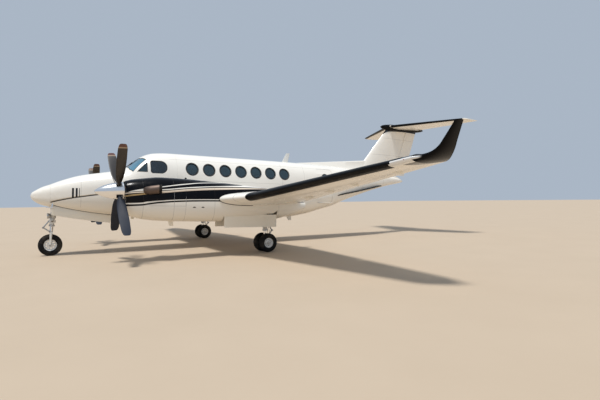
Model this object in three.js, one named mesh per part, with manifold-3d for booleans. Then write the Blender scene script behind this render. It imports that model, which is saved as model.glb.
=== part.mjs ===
// Turboprop business plane, parked on its gear at full size.
// Millimetres, +Z up, nose towards -Y, port side towards +X.
// Airframe pieces are drawn level, as (x, station, waterline), and then pitched
// nose-up on the main wheels. Landing gear is drawn in ground coordinates.
import * as THREE from 'three';
import { mergeVertices } from 'three/addons/utils/BufferGeometryUtils.js';
import Module from 'manifold-3d';

const wasm = await Module();
wasm.setup();

// Attitude on the ground and the middle of the overall length.
const parkedPitch = 0.0297;
const mainGearStation = 5370;
const middleStation = 7110;

// Fits and clearances.
const seatGap = 0.3;
const seatMargin = 0.5;
const surfaceGap = 10;
const flapGap = 24;
const hingePinRadius = 10;

// Fuselage walls and splits between its sections.
const noseTip = -45;
const radomeEnd = 390;
const noseEnd = 2000;
const cockpitEnd = 3500;
const cabinEnd = 9150;
const coneEnd = 12900;
const cockpitWall = 45;
const cabinWall = 60;
const tailWall = 22;

// Fuselage sections: station, half width, crown, keel, level of greatest width.
const fuselageSections = [
  [noseTip, 14, 1426, 1396, 1411],
  [-20, 90, 1478, 1332, 1411],
  [60, 186, 1542, 1250, 1414],
  [200, 264, 1632, 1176, 1422],
  [390, 338, 1712, 1122, 1434],
  [610, 402, 1812, 1080, 1460],
  [1080, 502, 1976, 1000, 1506],
  [1645, 592, 2086, 925, 1558],
  [2000, 642, 2158, 892, 1590],
  [2230, 668, 2254, 878, 1610],
  [2475, 690, 2478, 868, 1640],
  [2740, 715, 2642, 860, 1670],
  [2940, 728, 2700, 857, 1700],
  [3310, 745, 2731, 855, 1720],
  [3500, 750, 2734, 855, 1730],
  [7300, 750, 2730, 855, 1730],
  [8000, 740, 2722, 945, 1770],
  [8570, 704, 2706, 1090, 1820],
  [9150, 650, 2688, 1235, 1880],
  [9700, 588, 2665, 1440, 1960],
  [10210, 520, 2635, 1608, 2050],
  [11200, 385, 2565, 1897, 2190],
  [12000, 270, 2485, 2090, 2275],
  [12500, 175, 2432, 2185, 2300],
  [12800, 75, 2372, 2245, 2305],
  [coneEnd, 26, 2335, 2266, 2300],
];
const fuselageRoundness = { crown: 2.6, keel: 3.0 };

// Nacelle sections: station, half width, crown, keel, level of greatest width.
const nacelleCentre = 2615;
const nacelleWall = 30;
const nacelleFront = 1830;
const nacelleEnd = 6600;
const nacelleSections = [
  [nacelleFront, 288, 1746, 990, 1400],
  [1940, 322, 1778, 950, 1385],
  [2160, 362, 1812, 886, 1360],
  [2600, 402, 1859, 840, 1340],
  [3200, 420, 1845, 822, 1330],
  [3810, 420, 1805, 815, 1310],
  [4620, 415, 1742, 822, 1280],
  [5300, 362, 1694, 840, 1230],
  [5680, 304, 1590, 880, 1210],
  [6120, 205, 1462, 1003, 1215],
  [nacelleEnd, 40, 1320, 1190, 1250],
];
const nacelleRoundness = { crown: 2.4, keel: 2.6 };
const firewall = { front: 3780, back: 3850 };
const wheelWell = { front: 4060, back: 5560, halfWidth: 320, top: 1400, lip: 15, lipTop: 1020 };

// Propeller and engine.
// The shaft is tilted nose-down about the middle of the spinner's base, and what turns on it is
// drawn along it, from that point.
const thrustLine = 1522;
const shaftTilt = 0.056;
const bladeCount = 4;
const bladeStart = Math.PI / 4;
const bladeSet = -100;
const blade = { widest: 0.46, forward: -0.25, aft: 0.15 };
const hub = { radius: 110, front: -190, back: -30, sides: 20 };
const spinner = { base: 1790, length: 600, radius: 195, wall: 10, tipWall: 14, floor: -40,
  fullness: 1.0, sharpness: 1.42, steps: 5 };
const rootHole = { halfWidth: 52, halfLength: 66, from: 60, to: 320 };
const engine = { front: 2050, radius: 235, level: 1480, noseRadius: 100, noseOverlap: 60, sides: 20 };
// The path of a stack: reach from the nacelle's middle, distance aft and rise.
const exhaust = { station: 2240, level: 1530, radius: 90, clear: 12,
  path: [[0, -40, 0], [300, -20, 0], [440, 50, 12], [500, 305, 46]] };
const intake = { halfWidth: 190, low: 1010, high: 1130, corner: 55, depth: 200 };
const spinnerHole = { from: 1700, to: 1950, radius: 214, sides: 24 };
// Blade sections: radius, chord, thickness, twist from feather in degrees.
const bladeSections = [
  [50, 68, 68, -28],
  [190, 90, 62, -28],
  [380, 172, 38, -20],
  [700, 208, 24, -10],
  [1050, 200, 14, -3],
  [1270, 162, 8, 2],
  [1333.5, 104, 5, 3],
];

// Wing sections: x, leading edge, trailing edge, waterline, thickness.
const wingBreak = 3000;
const wingTip = 8330;
const wingCentreSections = [
  [0, 4050, 6400, 1044, 350],
  [700, 4050, 6400, 1121, 350],
  [2200, 4020, 6385, 1286, 350],
  [wingBreak, 3900, 6372, 1360, 315],
];
const wingOuterSections = [
  [wingBreak + seatGap, 3900, 6372, 1360, 315],
  [3200, 3960, 6360, 1378, 305],
  [3600, 4410, 6320, 1428, 285],
  [7900, 4870, 5760, 1908, 146],
  [wingTip, 4925, 5700, 1960, 128],
];
// Winglet sections: x, waterline, leading edge, trailing edge, thickness, lean in degrees from level.
const wingletSections = [
  [wingTip + seatGap, 1960, 4925, 5700, 126, 4],
  [8450, 1985, 5020, 5632, 105, 20],
  [8560, 2042, 5110, 5562, 80, 42],
  [8640, 2122, 5162, 5520, 62, 60],
  [8700, 2240, 5208, 5498, 48, 70],
  [8812.4, 2505, 5312, 5482, 26, 76],
];

// Hinge lines of the wing's control surfaces: inboard and outboard [x, station, waterline].
const wingSurfaces = {
  flap_inner: { from: [830, 5940, 1092], to: [2130, 5930, 1236], chord: 620, nose: 12, gap: flapGap },
  flap_outer: { from: [3110, 5950, 1340], to: [5640, 5680, 1630], chord: 620, nose: 12, gap: flapGap },
  aileron: { from: [5730, 5690, 1673], to: [8190, 5515, 1946], chord: 500, gap: surfaceGap,
    rootNose: 54, tipNose: 33 },
};

// Tail.
const tailplaneTip = 2805;
const tailplaneSections = [
  [0, 12060, 13740, 4478, 168],
  [tailplaneTip - 60, 13176, 13954, 4462, 76],
  [tailplaneTip, 13330, 13930, 4460, 40],
];
const elevator = { from: [190, 13200, 4476], to: [2700, 13650, 4462], chord: 800,
  rootNose: 52, tipNose: 26 };
const finSections = [
  [2380, 10320, 12940, 262],
  [3026, 10870, 13170, 226],
  [4400, 12038, 13656, 146],
];
// Hollow of the fin, open at its foot, and of the tailplane, open through a hole under the bullet,
// with the columns of their sections. The tailplane's hollow lies level with its skin.
const finCavity = [
  [2300, 10500, 12240, 200],
  [3026, 11060, 12500, 176],
  [4240, 12100, 12900, 100],
];
const tailplaneCavity = [
  [0, 12220, 13030, 4474, 122],
  [2560, 13160, 13520, 4464, 48],
];
const tailplaneHole = { station: 12560, radius: 45 };
const rudder = { from: [12435, 2520], to: [13050, 4258], chord: 800, rootNose: 54, tipNose: 42 };
// Where the foot of the fin stops, under the rudder, and where the hollow of the tail cone ends.
const finFootEnd = 12640;
const coneHollowEnd = 12300;
// Dorsal fillet: station, half width at the foot, crest.
const dorsalSections = [
  [7800, 14, 2738],
  [8840, 34, 2836],
  [10450, 62, 2984],
  [11050, 70, 3040],
];
const dorsalFoot = 2480;
// Bullet fairing sections: station, half width, crown, keel.
const bulletSections = [
  [11700, 6, 4440, 4426],
  [11780, 56, 4492, 4374],
  [11980, 94, 4542, 4328],
  [12320, 120, 4577, 4312],
  [13240, 120, 4590, 4342],
  [13700, 90, 4576, 4386],
  [14000, 44, 4540, 4450],
  [14091, 8, 4507, 4489],
];
// Long strakes low on the tail cone: station, level of the outer edge, reach from the hull there.
const strakeSections = [
  [9190, 1618, 8],
  [9400, 1662, 45],
  [10100, 1790, 115],
  [10860, 1940, 132],
  [11330, 2028, 76],
  [11520, 2052, 14],
];
const strake = { thickness: 24, droop: 20, rootDepth: 14 };

// Cabin windows, airstair door and cockpit glass.
const cabinWindow = { first: 3933, pitch: 508.3, count: 7, level: 2260, radius: 180 };
const airstair = { front: 8270, back: 8950, sill: 1335, head: 2520, corner: 90, gap: 6,
  hingeX: 668, hingeLevel: 1349, pinStart: 66 };
const doorWindow = { station: 8620, level: 2195, radius: 165 };
const windscreenPlan = [
  [38, 2240],
  [250, 2236],
  [450, 2256],
  [572, 2330],
  [470, 2688],
  [236, 2568],
  [38, 2552],
];
const windscreenBase = 1960;
const quarterWindow = [
  [2427, 2116],
  [2700, 2114],
  [2705, 2395],
  [2668, 2380],
];
const sideWindow = { front: 2776, back: 3228, low: 2086, high: 2455, corner: 172, frontCorner: 70 };
const paneGap = 0.3;
const paneInset = 8;
const paneThickness = 12;

// Jack pads with flat undersides: x, station, waterline of each face.
const jackPad = { wing: [1620, 4760, 1030], nose: [0, 1925, 872], radius: 34,
  wingHeight: 130, noseHeight: 90 };

// Floors and seats.
const floorTop = 1370;
const floorThickness = 30;
const cabinSeats = [4320, 5240, 6160, 7080];
const seat = { width: 470, depth: 480, height: 420, back: 760, backThickness: 130, aisle: 180 };
const pilotSeat = { x: 330, station: 3120 };
// How far pieces of one solid are sunk into each other.
const sunk = 5;

// Undercarriage, in ground coordinates: stations aft of the nose, heights above the ground.
const noseWheel = { station: 424, radius: 279.5, width: 168, rim: 150, rimHalf: 52, dish: 32 };
const noseLeg = { station: 530, top: 1500, trunnion: 1410, collar: 760, radius: 55, rake: 0.093 };
const noseWell = { front: 410, back: 1850, halfWidth: 280, top: 1590 };
const noseDoor = { front: 415, back: 1860, thickness: 12 };
const mainWheel = { radius: 247.5, width: 168, offset: 165, rim: 128, rimHalf: 52, dish: 28, axle: 28 };
const mainLeg = { radius: 58, piston: 40, trunnionStation: 5340, trunnionLevel: 1190 };
const mainDoor = { front: 4075, back: 5520, top: 992, bottom: 672, thickness: 18 };

// Finishes: colour, roughness, metalness.
const finishes = {
  cream: [0xefece2, 0.32, 0.05],
  black: [0x17181a, 0.55, 0.0],
  alloy: [0xb9bbbd, 0.35, 0.9],
  chromed: [0xd8d8da, 0.15, 1.0],
  blade: [0x2a2b2e, 0.5, 0.2],
  bronze: [0x6d5546, 0.45, 0.8],
  white: [0xe8e8e6, 0.4, 0.1],
  tyre: [0x1b1b1c, 0.85, 0.0],
  glass: [0x4a5964, 0.08, 0.0],
  leather: [0xb9a88c, 0.7, 0.0],
  dark: [0x3a3c40, 0.7, 0.1],
};

const bodyRingPoints = 24;
const nacelleRingPoints = 20;
const interiorRingPoints = 16;
const bayRingPoints = 12;
const barSides = 10;
const windowSides = 12;
const wheelSides = 20;
const legSides = 16;

// Builds a closed geometry from rings of equal point counts, with a fan at each end.
function loft(rings) {
  const count = rings[0].length;
  const positions = [];
  const faces = [];
  rings.forEach((ring) => ring.forEach((point) => positions.push(...point)));
  for (let band = 0; band < rings.length - 1; band += 1) {
    for (let i = 0; i < count; i += 1) {
      const a = band * count + i;
      const b = band * count + ((i + 1) % count);
      faces.push(a, b, b + count, a, b + count, a + count);
    }
  }
  [0, rings.length - 1].forEach((end) => {
    const ring = rings[end];
    const middle = [0, 1, 2].map((axis) => ring.reduce((sum, point) => sum + point[axis], 0) / count);
    const hub = positions.length / 3;
    positions.push(...middle);
    for (let i = 0; i < count; i += 1) {
      const a = end * count + i;
      const b = end * count + ((i + 1) % count);
      faces.push(...(end === 0 ? [hub, b, a] : [hub, a, b]));
    }
  });
  const geometry = new THREE.BufferGeometry();
  geometry.setAttribute('position', new THREE.Float32BufferAttribute(positions, 3));
  geometry.setIndex(faces);
  return geometry;
}

// A three.js geometry as a solid that can be cut and joined, with its faces turned outwards.
function solid(geometry) {
  const plain = geometry.clone();
  plain.deleteAttribute('normal');
  plain.deleteAttribute('uv');
  const merged = mergeVertices(plain, 0.001);
  const points = merged.attributes.position;
  const triangles = new Uint32Array(merged.index.array);
  const corner = (index) => new THREE.Vector3().fromBufferAttribute(points, index);
  let volume = 0;
  for (let i = 0; i < triangles.length; i += 3) {
    const [a, b, c] = [...triangles.slice(i, i + 3)].map(corner);
    volume += a.dot(b.cross(c));
  }
  if (volume < 0) triangles.reverse();
  return new wasm.Manifold(new wasm.Mesh({
    numProp: 3, vertProperties: new Float32Array(points.array), triVerts: triangles,
  }));
}

// A solid as a three.js geometry, its flat faces merged.
const flatness = 0.05;
function geometryOf(body) {
  const mesh = body.asOriginal().simplify(flatness).getMesh();
  const geometry = new THREE.BufferGeometry();
  geometry.setAttribute('position', new THREE.Float32BufferAttribute(mesh.vertProperties, 3));
  geometry.setIndex([...mesh.triVerts]);
  geometry.computeVertexNormals();
  return geometry;
}

const mirrored = (body) => body.mirror([1, 0, 0]);
const bothHalves = (body) => body.add(mirrored(body));
const joined = (bodies) => bodies.reduce((whole, body) => whole.add(body));

// A box between two corners.
function block(low, high) {
  const size = high.map((value, axis) => value - low[axis]);
  const geometry = new THREE.BoxGeometry(...size);
  geometry.translate(...low.map((value, axis) => value + size[axis] / 2));
  return solid(geometry);
}

// A round bar between two points, with an optional second radius at its far end.
function bar(start, end, radius, endRadius = radius, sides = barSides) {
  const from = new THREE.Vector3(...start);
  const to = new THREE.Vector3(...end);
  const along = to.clone().sub(from);
  const geometry = new THREE.CylinderGeometry(endRadius, radius, along.length(), sides);
  geometry.applyQuaternion(new THREE.Quaternion().setFromUnitVectors(
    new THREE.Vector3(0, 1, 0), along.clone().normalize()));
  geometry.translate(...from.add(to).multiplyScalar(0.5).toArray());
  return solid(geometry);
}

// The corner radius of a bore whose flats clear a turning bar.
const boreRadius = (radius, sides) => (radius + seatGap) / Math.cos(Math.PI / sides);

// A flat outline swept straight: drawn in the station and waterline plane and swept along x,
// or drawn in the x and station plane and swept up.
function prism(outline, from, to, sweep) {
  const shape = outline instanceof THREE.Shape ? outline
    : new THREE.Shape(outline.map(([a, b]) => new THREE.Vector2(a, b)));
  const geometry = new THREE.ExtrudeGeometry(
    shape, { depth: to - from, bevelEnabled: false, curveSegments: 3 });
  geometry.translate(0, 0, from);
  if (sweep === 'x') {
    geometry.applyMatrix4(new THREE.Matrix4().set(0, 0, 1, 0, 1, 0, 0, 0, 0, 1, 0, 0, 0, 0, 0, 1));
  }
  return solid(geometry);
}

// A rectangle with round corners.
function roundedOutline(left, right, low, high, corner, leftCorner = corner) {
  const shape = new THREE.Shape();
  shape.absarc(right - corner, low + corner, corner, -Math.PI / 2, 0);
  shape.absarc(right - corner, high - corner, corner, 0, Math.PI / 2);
  shape.absarc(left + leftCorner, high - leftCorner, leftCorner, Math.PI / 2, Math.PI);
  shape.absarc(left + leftCorner, low + leftCorner, leftCorner, Math.PI, 1.5 * Math.PI);
  return shape;
}

// An outline drawn in by a margin; its points run anticlockwise.
function insetOutline(points, margin) {
  return points.map((point, i) => {
    const [before, after] = [points.at(i - 1), points[(i + 1) % points.length]];
    const [[a, b], [c, d]] = [[before, point], [point, after]].map(([from, to]) => {
      const length = Math.hypot(to[0] - from[0], to[1] - from[1]);
      return [(from[1] - to[1]) / length, (to[0] - from[0]) / length];
    });
    const share = margin / (1 + a * c + b * d);
    return [point[0] + share * (a + c), point[1] + share * (b + d)];
  });
}

// The values of a section table at any station, straight between its rows.
function sectionAt(table, station) {
  const last = table.length - 1;
  let row = table.findIndex((entry) => entry[0] >= station);
  if (row < 1) row = row === 0 ? 1 : last;
  const [before, after] = [table[row - 1], table[row]];
  const part = (station - before[0]) / (after[0] - before[0]);
  return before.map((value, column) => value + (after[column] - value) * part);
}

// A rounded-square ring across the body, drawn in by an inset.
function bodyRing(table, roundness, station, inset, centre = 0, count = bodyRingPoints) {
  const [, halfWidth, crown, keel, level] = sectionAt(table, station);
  return Array.from({ length: count }, (_, i) => {
    const angle = (2 * Math.PI * i) / count;
    const [across, up] = [Math.cos(angle), Math.sin(angle)];
    const power = 2 / (up >= 0 ? roundness.crown : roundness.keel);
    const x = Math.sign(across) * Math.abs(across) ** power * Math.max(halfWidth - inset, 2);
    const reach = up >= 0 ? crown - inset - level : level - keel - inset;
    return [centre + x, station, level + Math.sign(up) * Math.abs(up) ** power * Math.max(reach, 2)];
  });
}

function bodyBetween(table, roundness, from, to, inset, centre, count) {
  const between = table.map((entry) => entry[0])
    .filter((station) => station > from + 1 && station < to - 1);
  const stations = [from, ...between, to];
  return solid(loft(stations.map((station) => bodyRing(table, roundness, station, inset, centre, count))));
}

const fuselage = (from, to, inset = 0) => bodyBetween(fuselageSections, fuselageRoundness, from, to, inset);
const interior = (from, to, inset) => bodyBetween(
  fuselageSections, fuselageRoundness, from, to, inset, 0, interiorRingPoints);
const nacelleBody = (from, to) => bodyBetween(
  nacelleSections, nacelleRoundness, from, to, 0, nacelleCentre, nacelleRingPoints);
// The hollow inside a nacelle, through a few stations.
const nacelleHollow = (stations) => solid(loft(stations.map((station) => bodyRing(
  nacelleSections, nacelleRoundness, station, nacelleWall, nacelleCentre, bayRingPoints))));

// Points round an aerofoil: station and height along its chord, rounder on top.
const aerofoilStops = [1, 0.76, 0.5, 0.28, 0.11, 0.025, 0];
function aerofoil(leading, trailing, thickness, camber = 0.12) {
  const chord = trailing - leading;
  const half = (stop) => Math.max(
    5 * thickness * (0.2969 * Math.sqrt(stop) - 0.126 * stop - 0.3516 * stop ** 2
      + 0.2843 * stop ** 3 - 0.1015 * stop ** 4), stop === 0 ? 0 : 3);
  const upper = aerofoilStops.map((stop) => [leading + stop * chord, half(stop) * (1 + camber)]);
  const lower = aerofoilStops.slice(0, -1).reverse()
    .map((stop) => [leading + stop * chord, -half(stop) * (1 - camber)]);
  return [...upper, ...lower];
}

// A wing through its sections, made fatter by a margin for cutting its own seat.
function wingBody(sections, margin = 0, camber = 0.12) {
  return solid(loft(sections.map(([x, leading, trailing, level, thickness]) => aerofoil(
    leading - margin, trailing + margin, thickness + 3 * margin, camber)
    .map(([station, height]) => [x, station, level + height]))));
}

// Axes along a hinge line, straight aft of it and square to both.
function hingeFrame(from, to) {
  const along = to.clone().sub(from).normalize();
  const up = along.clone().cross(new THREE.Vector3(0, 1, 0)).normalize();
  const aft = up.clone().cross(along).normalize();
  return { along, aft, up, length: from.distanceTo(to) };
}

// A box laid along a hinge line, from an overhang past its ends and a reach before and behind it.
function hingeBox(from, to, overhang, ahead, behind, halfHeight = 400) {
  const { along, aft, up, length } = hingeFrame(from, to);
  const geometry = new THREE.BoxGeometry(length + 2 * overhang, ahead + behind, 2 * halfHeight);
  geometry.translate(length / 2, (behind - ahead) / 2, 0);
  geometry.applyMatrix4(new THREE.Matrix4().makeBasis(along, aft, up));
  geometry.translate(...from.toArray());
  return solid(geometry);
}

// A hinged surface cut from its full wing or fin, with a round nose or a flat one,
// and a pin at each end that reaches its seat.
function hingedSurface(whole, from, to, spec) {
  const { along } = hingeFrame(from, to);
  const flat = spec.nose ?? 0;
  let surface = whole.intersect(hingeBox(from, to, 0, flat, spec.chord));
  if (!flat) {
    surface = surface.add(bar(from.toArray(), to.toArray(), spec.rootNose, spec.tipNose, 16));
  }
  const reach = (spec.gap ?? surfaceGap) - seatGap;
  const inner = from.clone().addScaledVector(along, -reach);
  const outer = to.clone().addScaledVector(along, reach);
  return surface.add(bar(inner.toArray(), outer.toArray(), hingePinRadius, hingePinRadius, 8));
}

function hingedSlot(from, to, spec) {
  const gap = spec.gap ?? surfaceGap;
  const ahead = (spec.nose ?? Math.max(spec.rootNose, spec.tipNose)) + gap;
  return hingeBox(from, to, gap, ahead, spec.chord + 200);
}

const plane = new THREE.Group();
plane.name = 'turboprop_business_plane';
const airframe = new THREE.Group();
const level = new THREE.Group();
level.position.set(0, -mainGearStation, 0);
airframe.rotation.x = -parkedPitch;
airframe.position.set(0, mainGearStation - middleStation, 0);
airframe.add(level);
const undercarriage = new THREE.Group();
undercarriage.position.set(0, -middleStation, 0);
plane.add(airframe, undercarriage);

function place(group, name, body, finish) {
  const [color, roughness, metalness] = finishes[finish];
  const material = new THREE.MeshStandardMaterial({ color, roughness, metalness });
  const mesh = new THREE.Mesh(geometryOf(body), material);
  mesh.name = name;
  group.add(mesh);
}
function placeBothSides(group, name, body, finish) {
  place(group, `${name}_port`, body, finish);
  place(group, `${name}_starboard`, mirrored(body), finish);
}

// An airframe point in ground coordinates.
function onGround(x, station, waterline) {
  const ahead = station - mainGearStation;
  return [
    x,
    mainGearStation + ahead * Math.cos(parkedPitch) + waterline * Math.sin(parkedPitch),
    waterline * Math.cos(parkedPitch) - ahead * Math.sin(parkedPitch),
  ];
}

// Wing centre section, through the fuselage and both nacelles.
const vector = (values) => new THREE.Vector3(...values);
const wholeCentre = bothHalves(wingBody(wingCentreSections));
const centreSeat = bothHalves(wingBody(wingCentreSections, seatMargin));
const well = block(
  [nacelleCentre - wheelWell.halfWidth, wheelWell.front, 500],
  [nacelleCentre + wheelWell.halfWidth, wheelWell.back, wheelWell.top]);
const innerFlap = wingSurfaces.flap_inner;
const innerFlapSlot = hingedSlot(vector(innerFlap.from), vector(innerFlap.to), innerFlap);
const flapInner = hingedSurface(wholeCentre, vector(innerFlap.from), vector(innerFlap.to), innerFlap);
const wingCentre = wholeCentre
  .subtract(well).subtract(mirrored(well))
  .subtract(innerFlapSlot).subtract(mirrored(innerFlapSlot));
const [wingPadX, wingPadStation, wingPadFace] = jackPad.wing;
const wingJackPad = bar(
  [wingPadX, wingPadStation, wingPadFace + jackPad.wingHeight], jackPad.wing, jackPad.radius);
place(level, 'wing_centre', wingCentre.add(bothHalves(wingJackPad)), 'cream');
placeBothSides(level, 'flap_inner', flapInner, 'cream');

// Outer wings with their flaps and ailerons.
const wholeWing = wingBody(wingOuterSections);
let outerWing = wholeWing;
['flap_outer', 'aileron'].forEach((name) => {
  const spec = wingSurfaces[name];
  const [from, to] = [vector(spec.from), vector(spec.to)];
  outerWing = outerWing.subtract(hingedSlot(from, to, spec));
  placeBothSides(level, name, hingedSurface(wholeWing, from, to, spec), 'cream');
});
placeBothSides(level, 'wing', outerWing, 'cream');

// Winglets, blended up from the tips.
const wingletRings = wingletSections.map(([x, level0, leading, trailing, thickness, leanDegrees]) => {
  const lean = THREE.MathUtils.degToRad(leanDegrees);
  return aerofoil(leading, trailing, thickness, 0)
    .map(([station, height]) => [x - height * Math.sin(lean), station, level0 + height * Math.cos(lean)]);
});
const wingletRoot = block([wingTip + seatGap, 4000, 1500], [9200, 6600, 3000]);
placeBothSides(level, 'winglet', solid(loft(wingletRings)).intersect(wingletRoot), 'black');

// Fuselage: solid nose, then hollow cockpit, cabin and tail cone.
place(level, 'radome', fuselage(noseTip, radomeEnd), 'cream');
const noseWellBox = block(
  [-noseWell.halfWidth, noseWell.front, 600],
  [noseWell.halfWidth, noseWell.back, noseWell.top]);
const [nosePadX, nosePadStation, nosePadFace] = jackPad.nose;
const noseJackPad = bar(
  [nosePadX, nosePadStation, nosePadFace + jackPad.noseHeight], jackPad.nose, jackPad.radius);
const noseBody = fuselage(radomeEnd + seatGap, noseEnd);
place(level, 'nose_section', noseBody.subtract(noseWellBox).add(noseJackPad), 'cream');

const windscreenCut = (shrink) => prism(
  insetOutline(windscreenPlan, shrink), windscreenBase + shrink, 2900, 'z');
const quarterCut = (shrink) => prism(insetOutline(quarterWindow, shrink), 420, 900, 'x');
const sideCut = (shrink) => prism(roundedOutline(
  sideWindow.front + shrink, sideWindow.back - shrink, sideWindow.low + shrink, sideWindow.high - shrink,
  sideWindow.corner - shrink, sideWindow.frontCorner - shrink), 420, 900, 'x');
const cockpitOpenings = joined([windscreenCut(0), quarterCut(0), sideCut(0)]);
place(level, 'cockpit_shell', fuselage(noseEnd + seatGap, cockpitEnd)
  .subtract(interior(noseEnd - 10, cockpitEnd + 10, cockpitWall))
  .subtract(cockpitOpenings).subtract(mirrored(cockpitOpenings)), 'cream');
const paneSkin = fuselage(noseEnd + 10, cockpitEnd - 10, paneInset)
  .subtract(fuselage(noseEnd, cockpitEnd, paneInset + paneThickness));
placeBothSides(level, 'windscreen', paneSkin.intersect(windscreenCut(paneGap)), 'glass');
placeBothSides(level, 'quarter_window', paneSkin.intersect(quarterCut(paneGap)), 'glass');
placeBothSides(level, 'cockpit_window', paneSkin.intersect(sideCut(paneGap)), 'glass');

// Cabin with its round windows, the airstair doorway and the seat of the wing.
const windowStations = Array.from(
  { length: cabinWindow.count }, (_, i) => cabinWindow.first + i * cabinWindow.pitch);
const windowBars = (radius, from, to) => windowStations.map((station) => bar(
  [from, station, cabinWindow.level], [to, station, cabinWindow.level], radius, radius, windowSides));
const doorway = (shrink) => prism(roundedOutline(
  airstair.front + shrink, airstair.back - shrink, airstair.sill + shrink, airstair.head - shrink,
  airstair.corner - shrink), 200, 1100, 'x');
const doorPane = (shrink) => bar(
  [200, doorWindow.station, doorWindow.level], [1100, doorWindow.station, doorWindow.level],
  doorWindow.radius - shrink, doorWindow.radius - shrink, windowSides);
const cabin = fuselage(cockpitEnd + seatGap, cabinEnd)
  .subtract(interior(cockpitEnd - 10, cabinEnd + 10, cabinWall))
  .subtract(joined(windowBars(cabinWindow.radius, -1000, 1000)))
  .subtract(doorway(0))
  .subtract(centreSeat);
const cabinSkin = fuselage(cockpitEnd + seatGap, cabinEnd)
  .subtract(interior(cockpitEnd, cabinEnd + 10, cabinWall));
place(level, 'cabin_shell', cabin, 'cream');

// Airstair door, with a pin at its sill that reaches both sides of the doorway.
const doorSolid = cabinSkin.intersect(doorway(airstair.gap)).subtract(doorPane(0)).add(
  bar([airstair.hingeX, airstair.front + airstair.pinStart, airstair.hingeLevel],
    [airstair.hingeX, airstair.back - airstair.gap, airstair.hingeLevel], hingePinRadius));
place(level, 'airstair_door', doorSolid, 'cream');

// Cabin glass: panes standing in the window holes, carried by a lining strip on the wall.
const lining = interior(3700, 7220, cabinWall + seatGap).subtract(interior(3600, 7300, cabinWall + 16))
  .intersect(block([300, 3700, 2040], [900, 7220, 2480]));
const panes = fuselage(3600, 7300, 22).subtract(interior(3550, 7350, cabinWall + 8))
  .intersect(joined(windowBars(cabinWindow.radius - seatGap, 300, 900)));
placeBothSides(level, 'cabin_windows', lining.add(panes), 'glass');

// Floors, seats and instrument panel.
function seatSolid(x, station, facing) {
  const half = seat.width / 2;
  const front = station - facing * seat.depth / 2;
  const back = station + facing * seat.depth / 2;
  const low = Math.min(front, back);
  const cushion = block(
    [x - half, low, floorTop - sunk], [x + half, low + seat.depth, floorTop + seat.height]);
  const backLow = facing > 0 ? back - seat.backThickness : back;
  const rest = block([x - half, backLow, floorTop + seat.height - sunk],
    [x + half, backLow + seat.backThickness, floorTop + seat.back]);
  return cushion.add(rest);
}
const inner = interior(noseEnd + seatGap, cabinEnd, cabinWall + seatGap);
const cabinFloor = block(
  [-900, cockpitEnd + 60, floorTop - floorThickness], [900, cabinEnd - 20, floorTop]);
const seatX = seat.aisle + seat.width / 2;
const seats = cabinSeats.flatMap((station, row) => [1, -1].map(
  (side) => seatSolid(side * seatX, station, row % 2 === 0 ? -1 : 1)));
const aftBulkhead = inner.intersect(
  block([-900, cabinEnd - 60, floorTop - sunk], [900, cabinEnd - 20, 2800]));
const liningClear = block([-900, 3690, 2030], [900, 7230, 2500]);
const doorSwing = block([560, airstair.front - 20, 1300], [900, airstair.back + 20, 1500]);
place(level, 'cabin_interior', joined([cabinFloor, ...seats])
  .subtract(liningClear).subtract(doorSwing).intersect(inner).add(aftBulkhead), 'leather');

const cockpitInner = interior(noseEnd + seatGap, cockpitEnd, cockpitWall + seatGap);
const panel = block([-620, 2330, 1700], [620, 2420, 2190]);
const pedestal = block([-130, 2400, floorTop - sunk], [130, 3000, 1760]);
const cockpitFloor = block(
  [-900, noseEnd + 60, floorTop - floorThickness], [900, cockpitEnd - 1, floorTop]);
const panelStand = block([-400, 2340, floorTop - sunk], [400, 2400, 1705]);
const pilotSeats = [1, -1].map((side) => seatSolid(side * pilotSeat.x, pilotSeat.station, 1));
place(level, 'cockpit_interior',
  joined([cockpitFloor, panelStand, panel, pedestal, ...pilotSeats]).intersect(cockpitInner), 'dark');

// How far out a rounded-square body reaches at a station and level below its widest part.
function lowerSide(table, roundness, station, waterline) {
  const [, halfWidth, , keel, level] = sectionAt(table, station);
  const share = Math.min((level - waterline) / (level - keel), 1);
  return halfWidth * (1 - share ** roundness.keel) ** (1 / roundness.keel);
}

// Tail cone with its two strakes, fin, rudder, bullet fairing and tailplane.
const strakeRings = strakeSections.map(([station, waterline, reach]) => {
  const skin = lowerSide(fuselageSections, fuselageRoundness, station, waterline);
  const half = strake.thickness / 2;
  const [root, rootLevel] = [skin - strake.rootDepth, waterline + strake.droop];
  return [
    [root, station, rootLevel - half], [skin + reach, station, waterline - half],
    [skin + reach, station, waterline + half], [root, station, rootLevel + half],
  ];
});
const strakes = bothHalves(solid(loft(strakeRings)));
const coneOuter = fuselage(cabinEnd + seatGap, coneEnd);
const coneInner = interior(cabinEnd - 10, coneHollowEnd, tailWall);
const tailCone = coneOuter.add(strakes).subtract(coneInner);
place(level, 'tail_cone', tailCone, 'cream');

const finRing = ([waterline, leading, trailing, thickness]) => aerofoil(leading, trailing, thickness, 0)
  .map(([station, height]) => [height, station, waterline]);
const finBody = (sections) => solid(loft(sections.map(finRing)));
const wholeFin = finBody(finSections);
const dorsalRings = dorsalSections.map(([station, half, crest]) => [
  [-half, station, dorsalFoot], [half, station, dorsalFoot], [half * 0.8, station, crest - 30],
  [0, station, crest], [-half * 0.8, station, crest - 30],
]);
const dorsal = solid(loft(dorsalRings));
const fuselageSeat = fuselage(cockpitEnd, coneEnd, -seatGap * 2);
const bulletRing = (inset) => bulletSections.map(([station, half, crown, keel]) => bodyRing(
  [[station, half, crown, keel, (crown + keel) / 2], [station + 1, half, crown, keel, (crown + keel) / 2]],
  { crown: 2, keel: 2 }, station, inset).filter((_, i) => i % 2 === 0));
const bulletSeat = solid(loft(bulletRing(-seatGap * 2)));
const rudderFrom = vector([0, ...rudder.from]);
const rudderTo = vector([0, ...rudder.to]);
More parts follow.
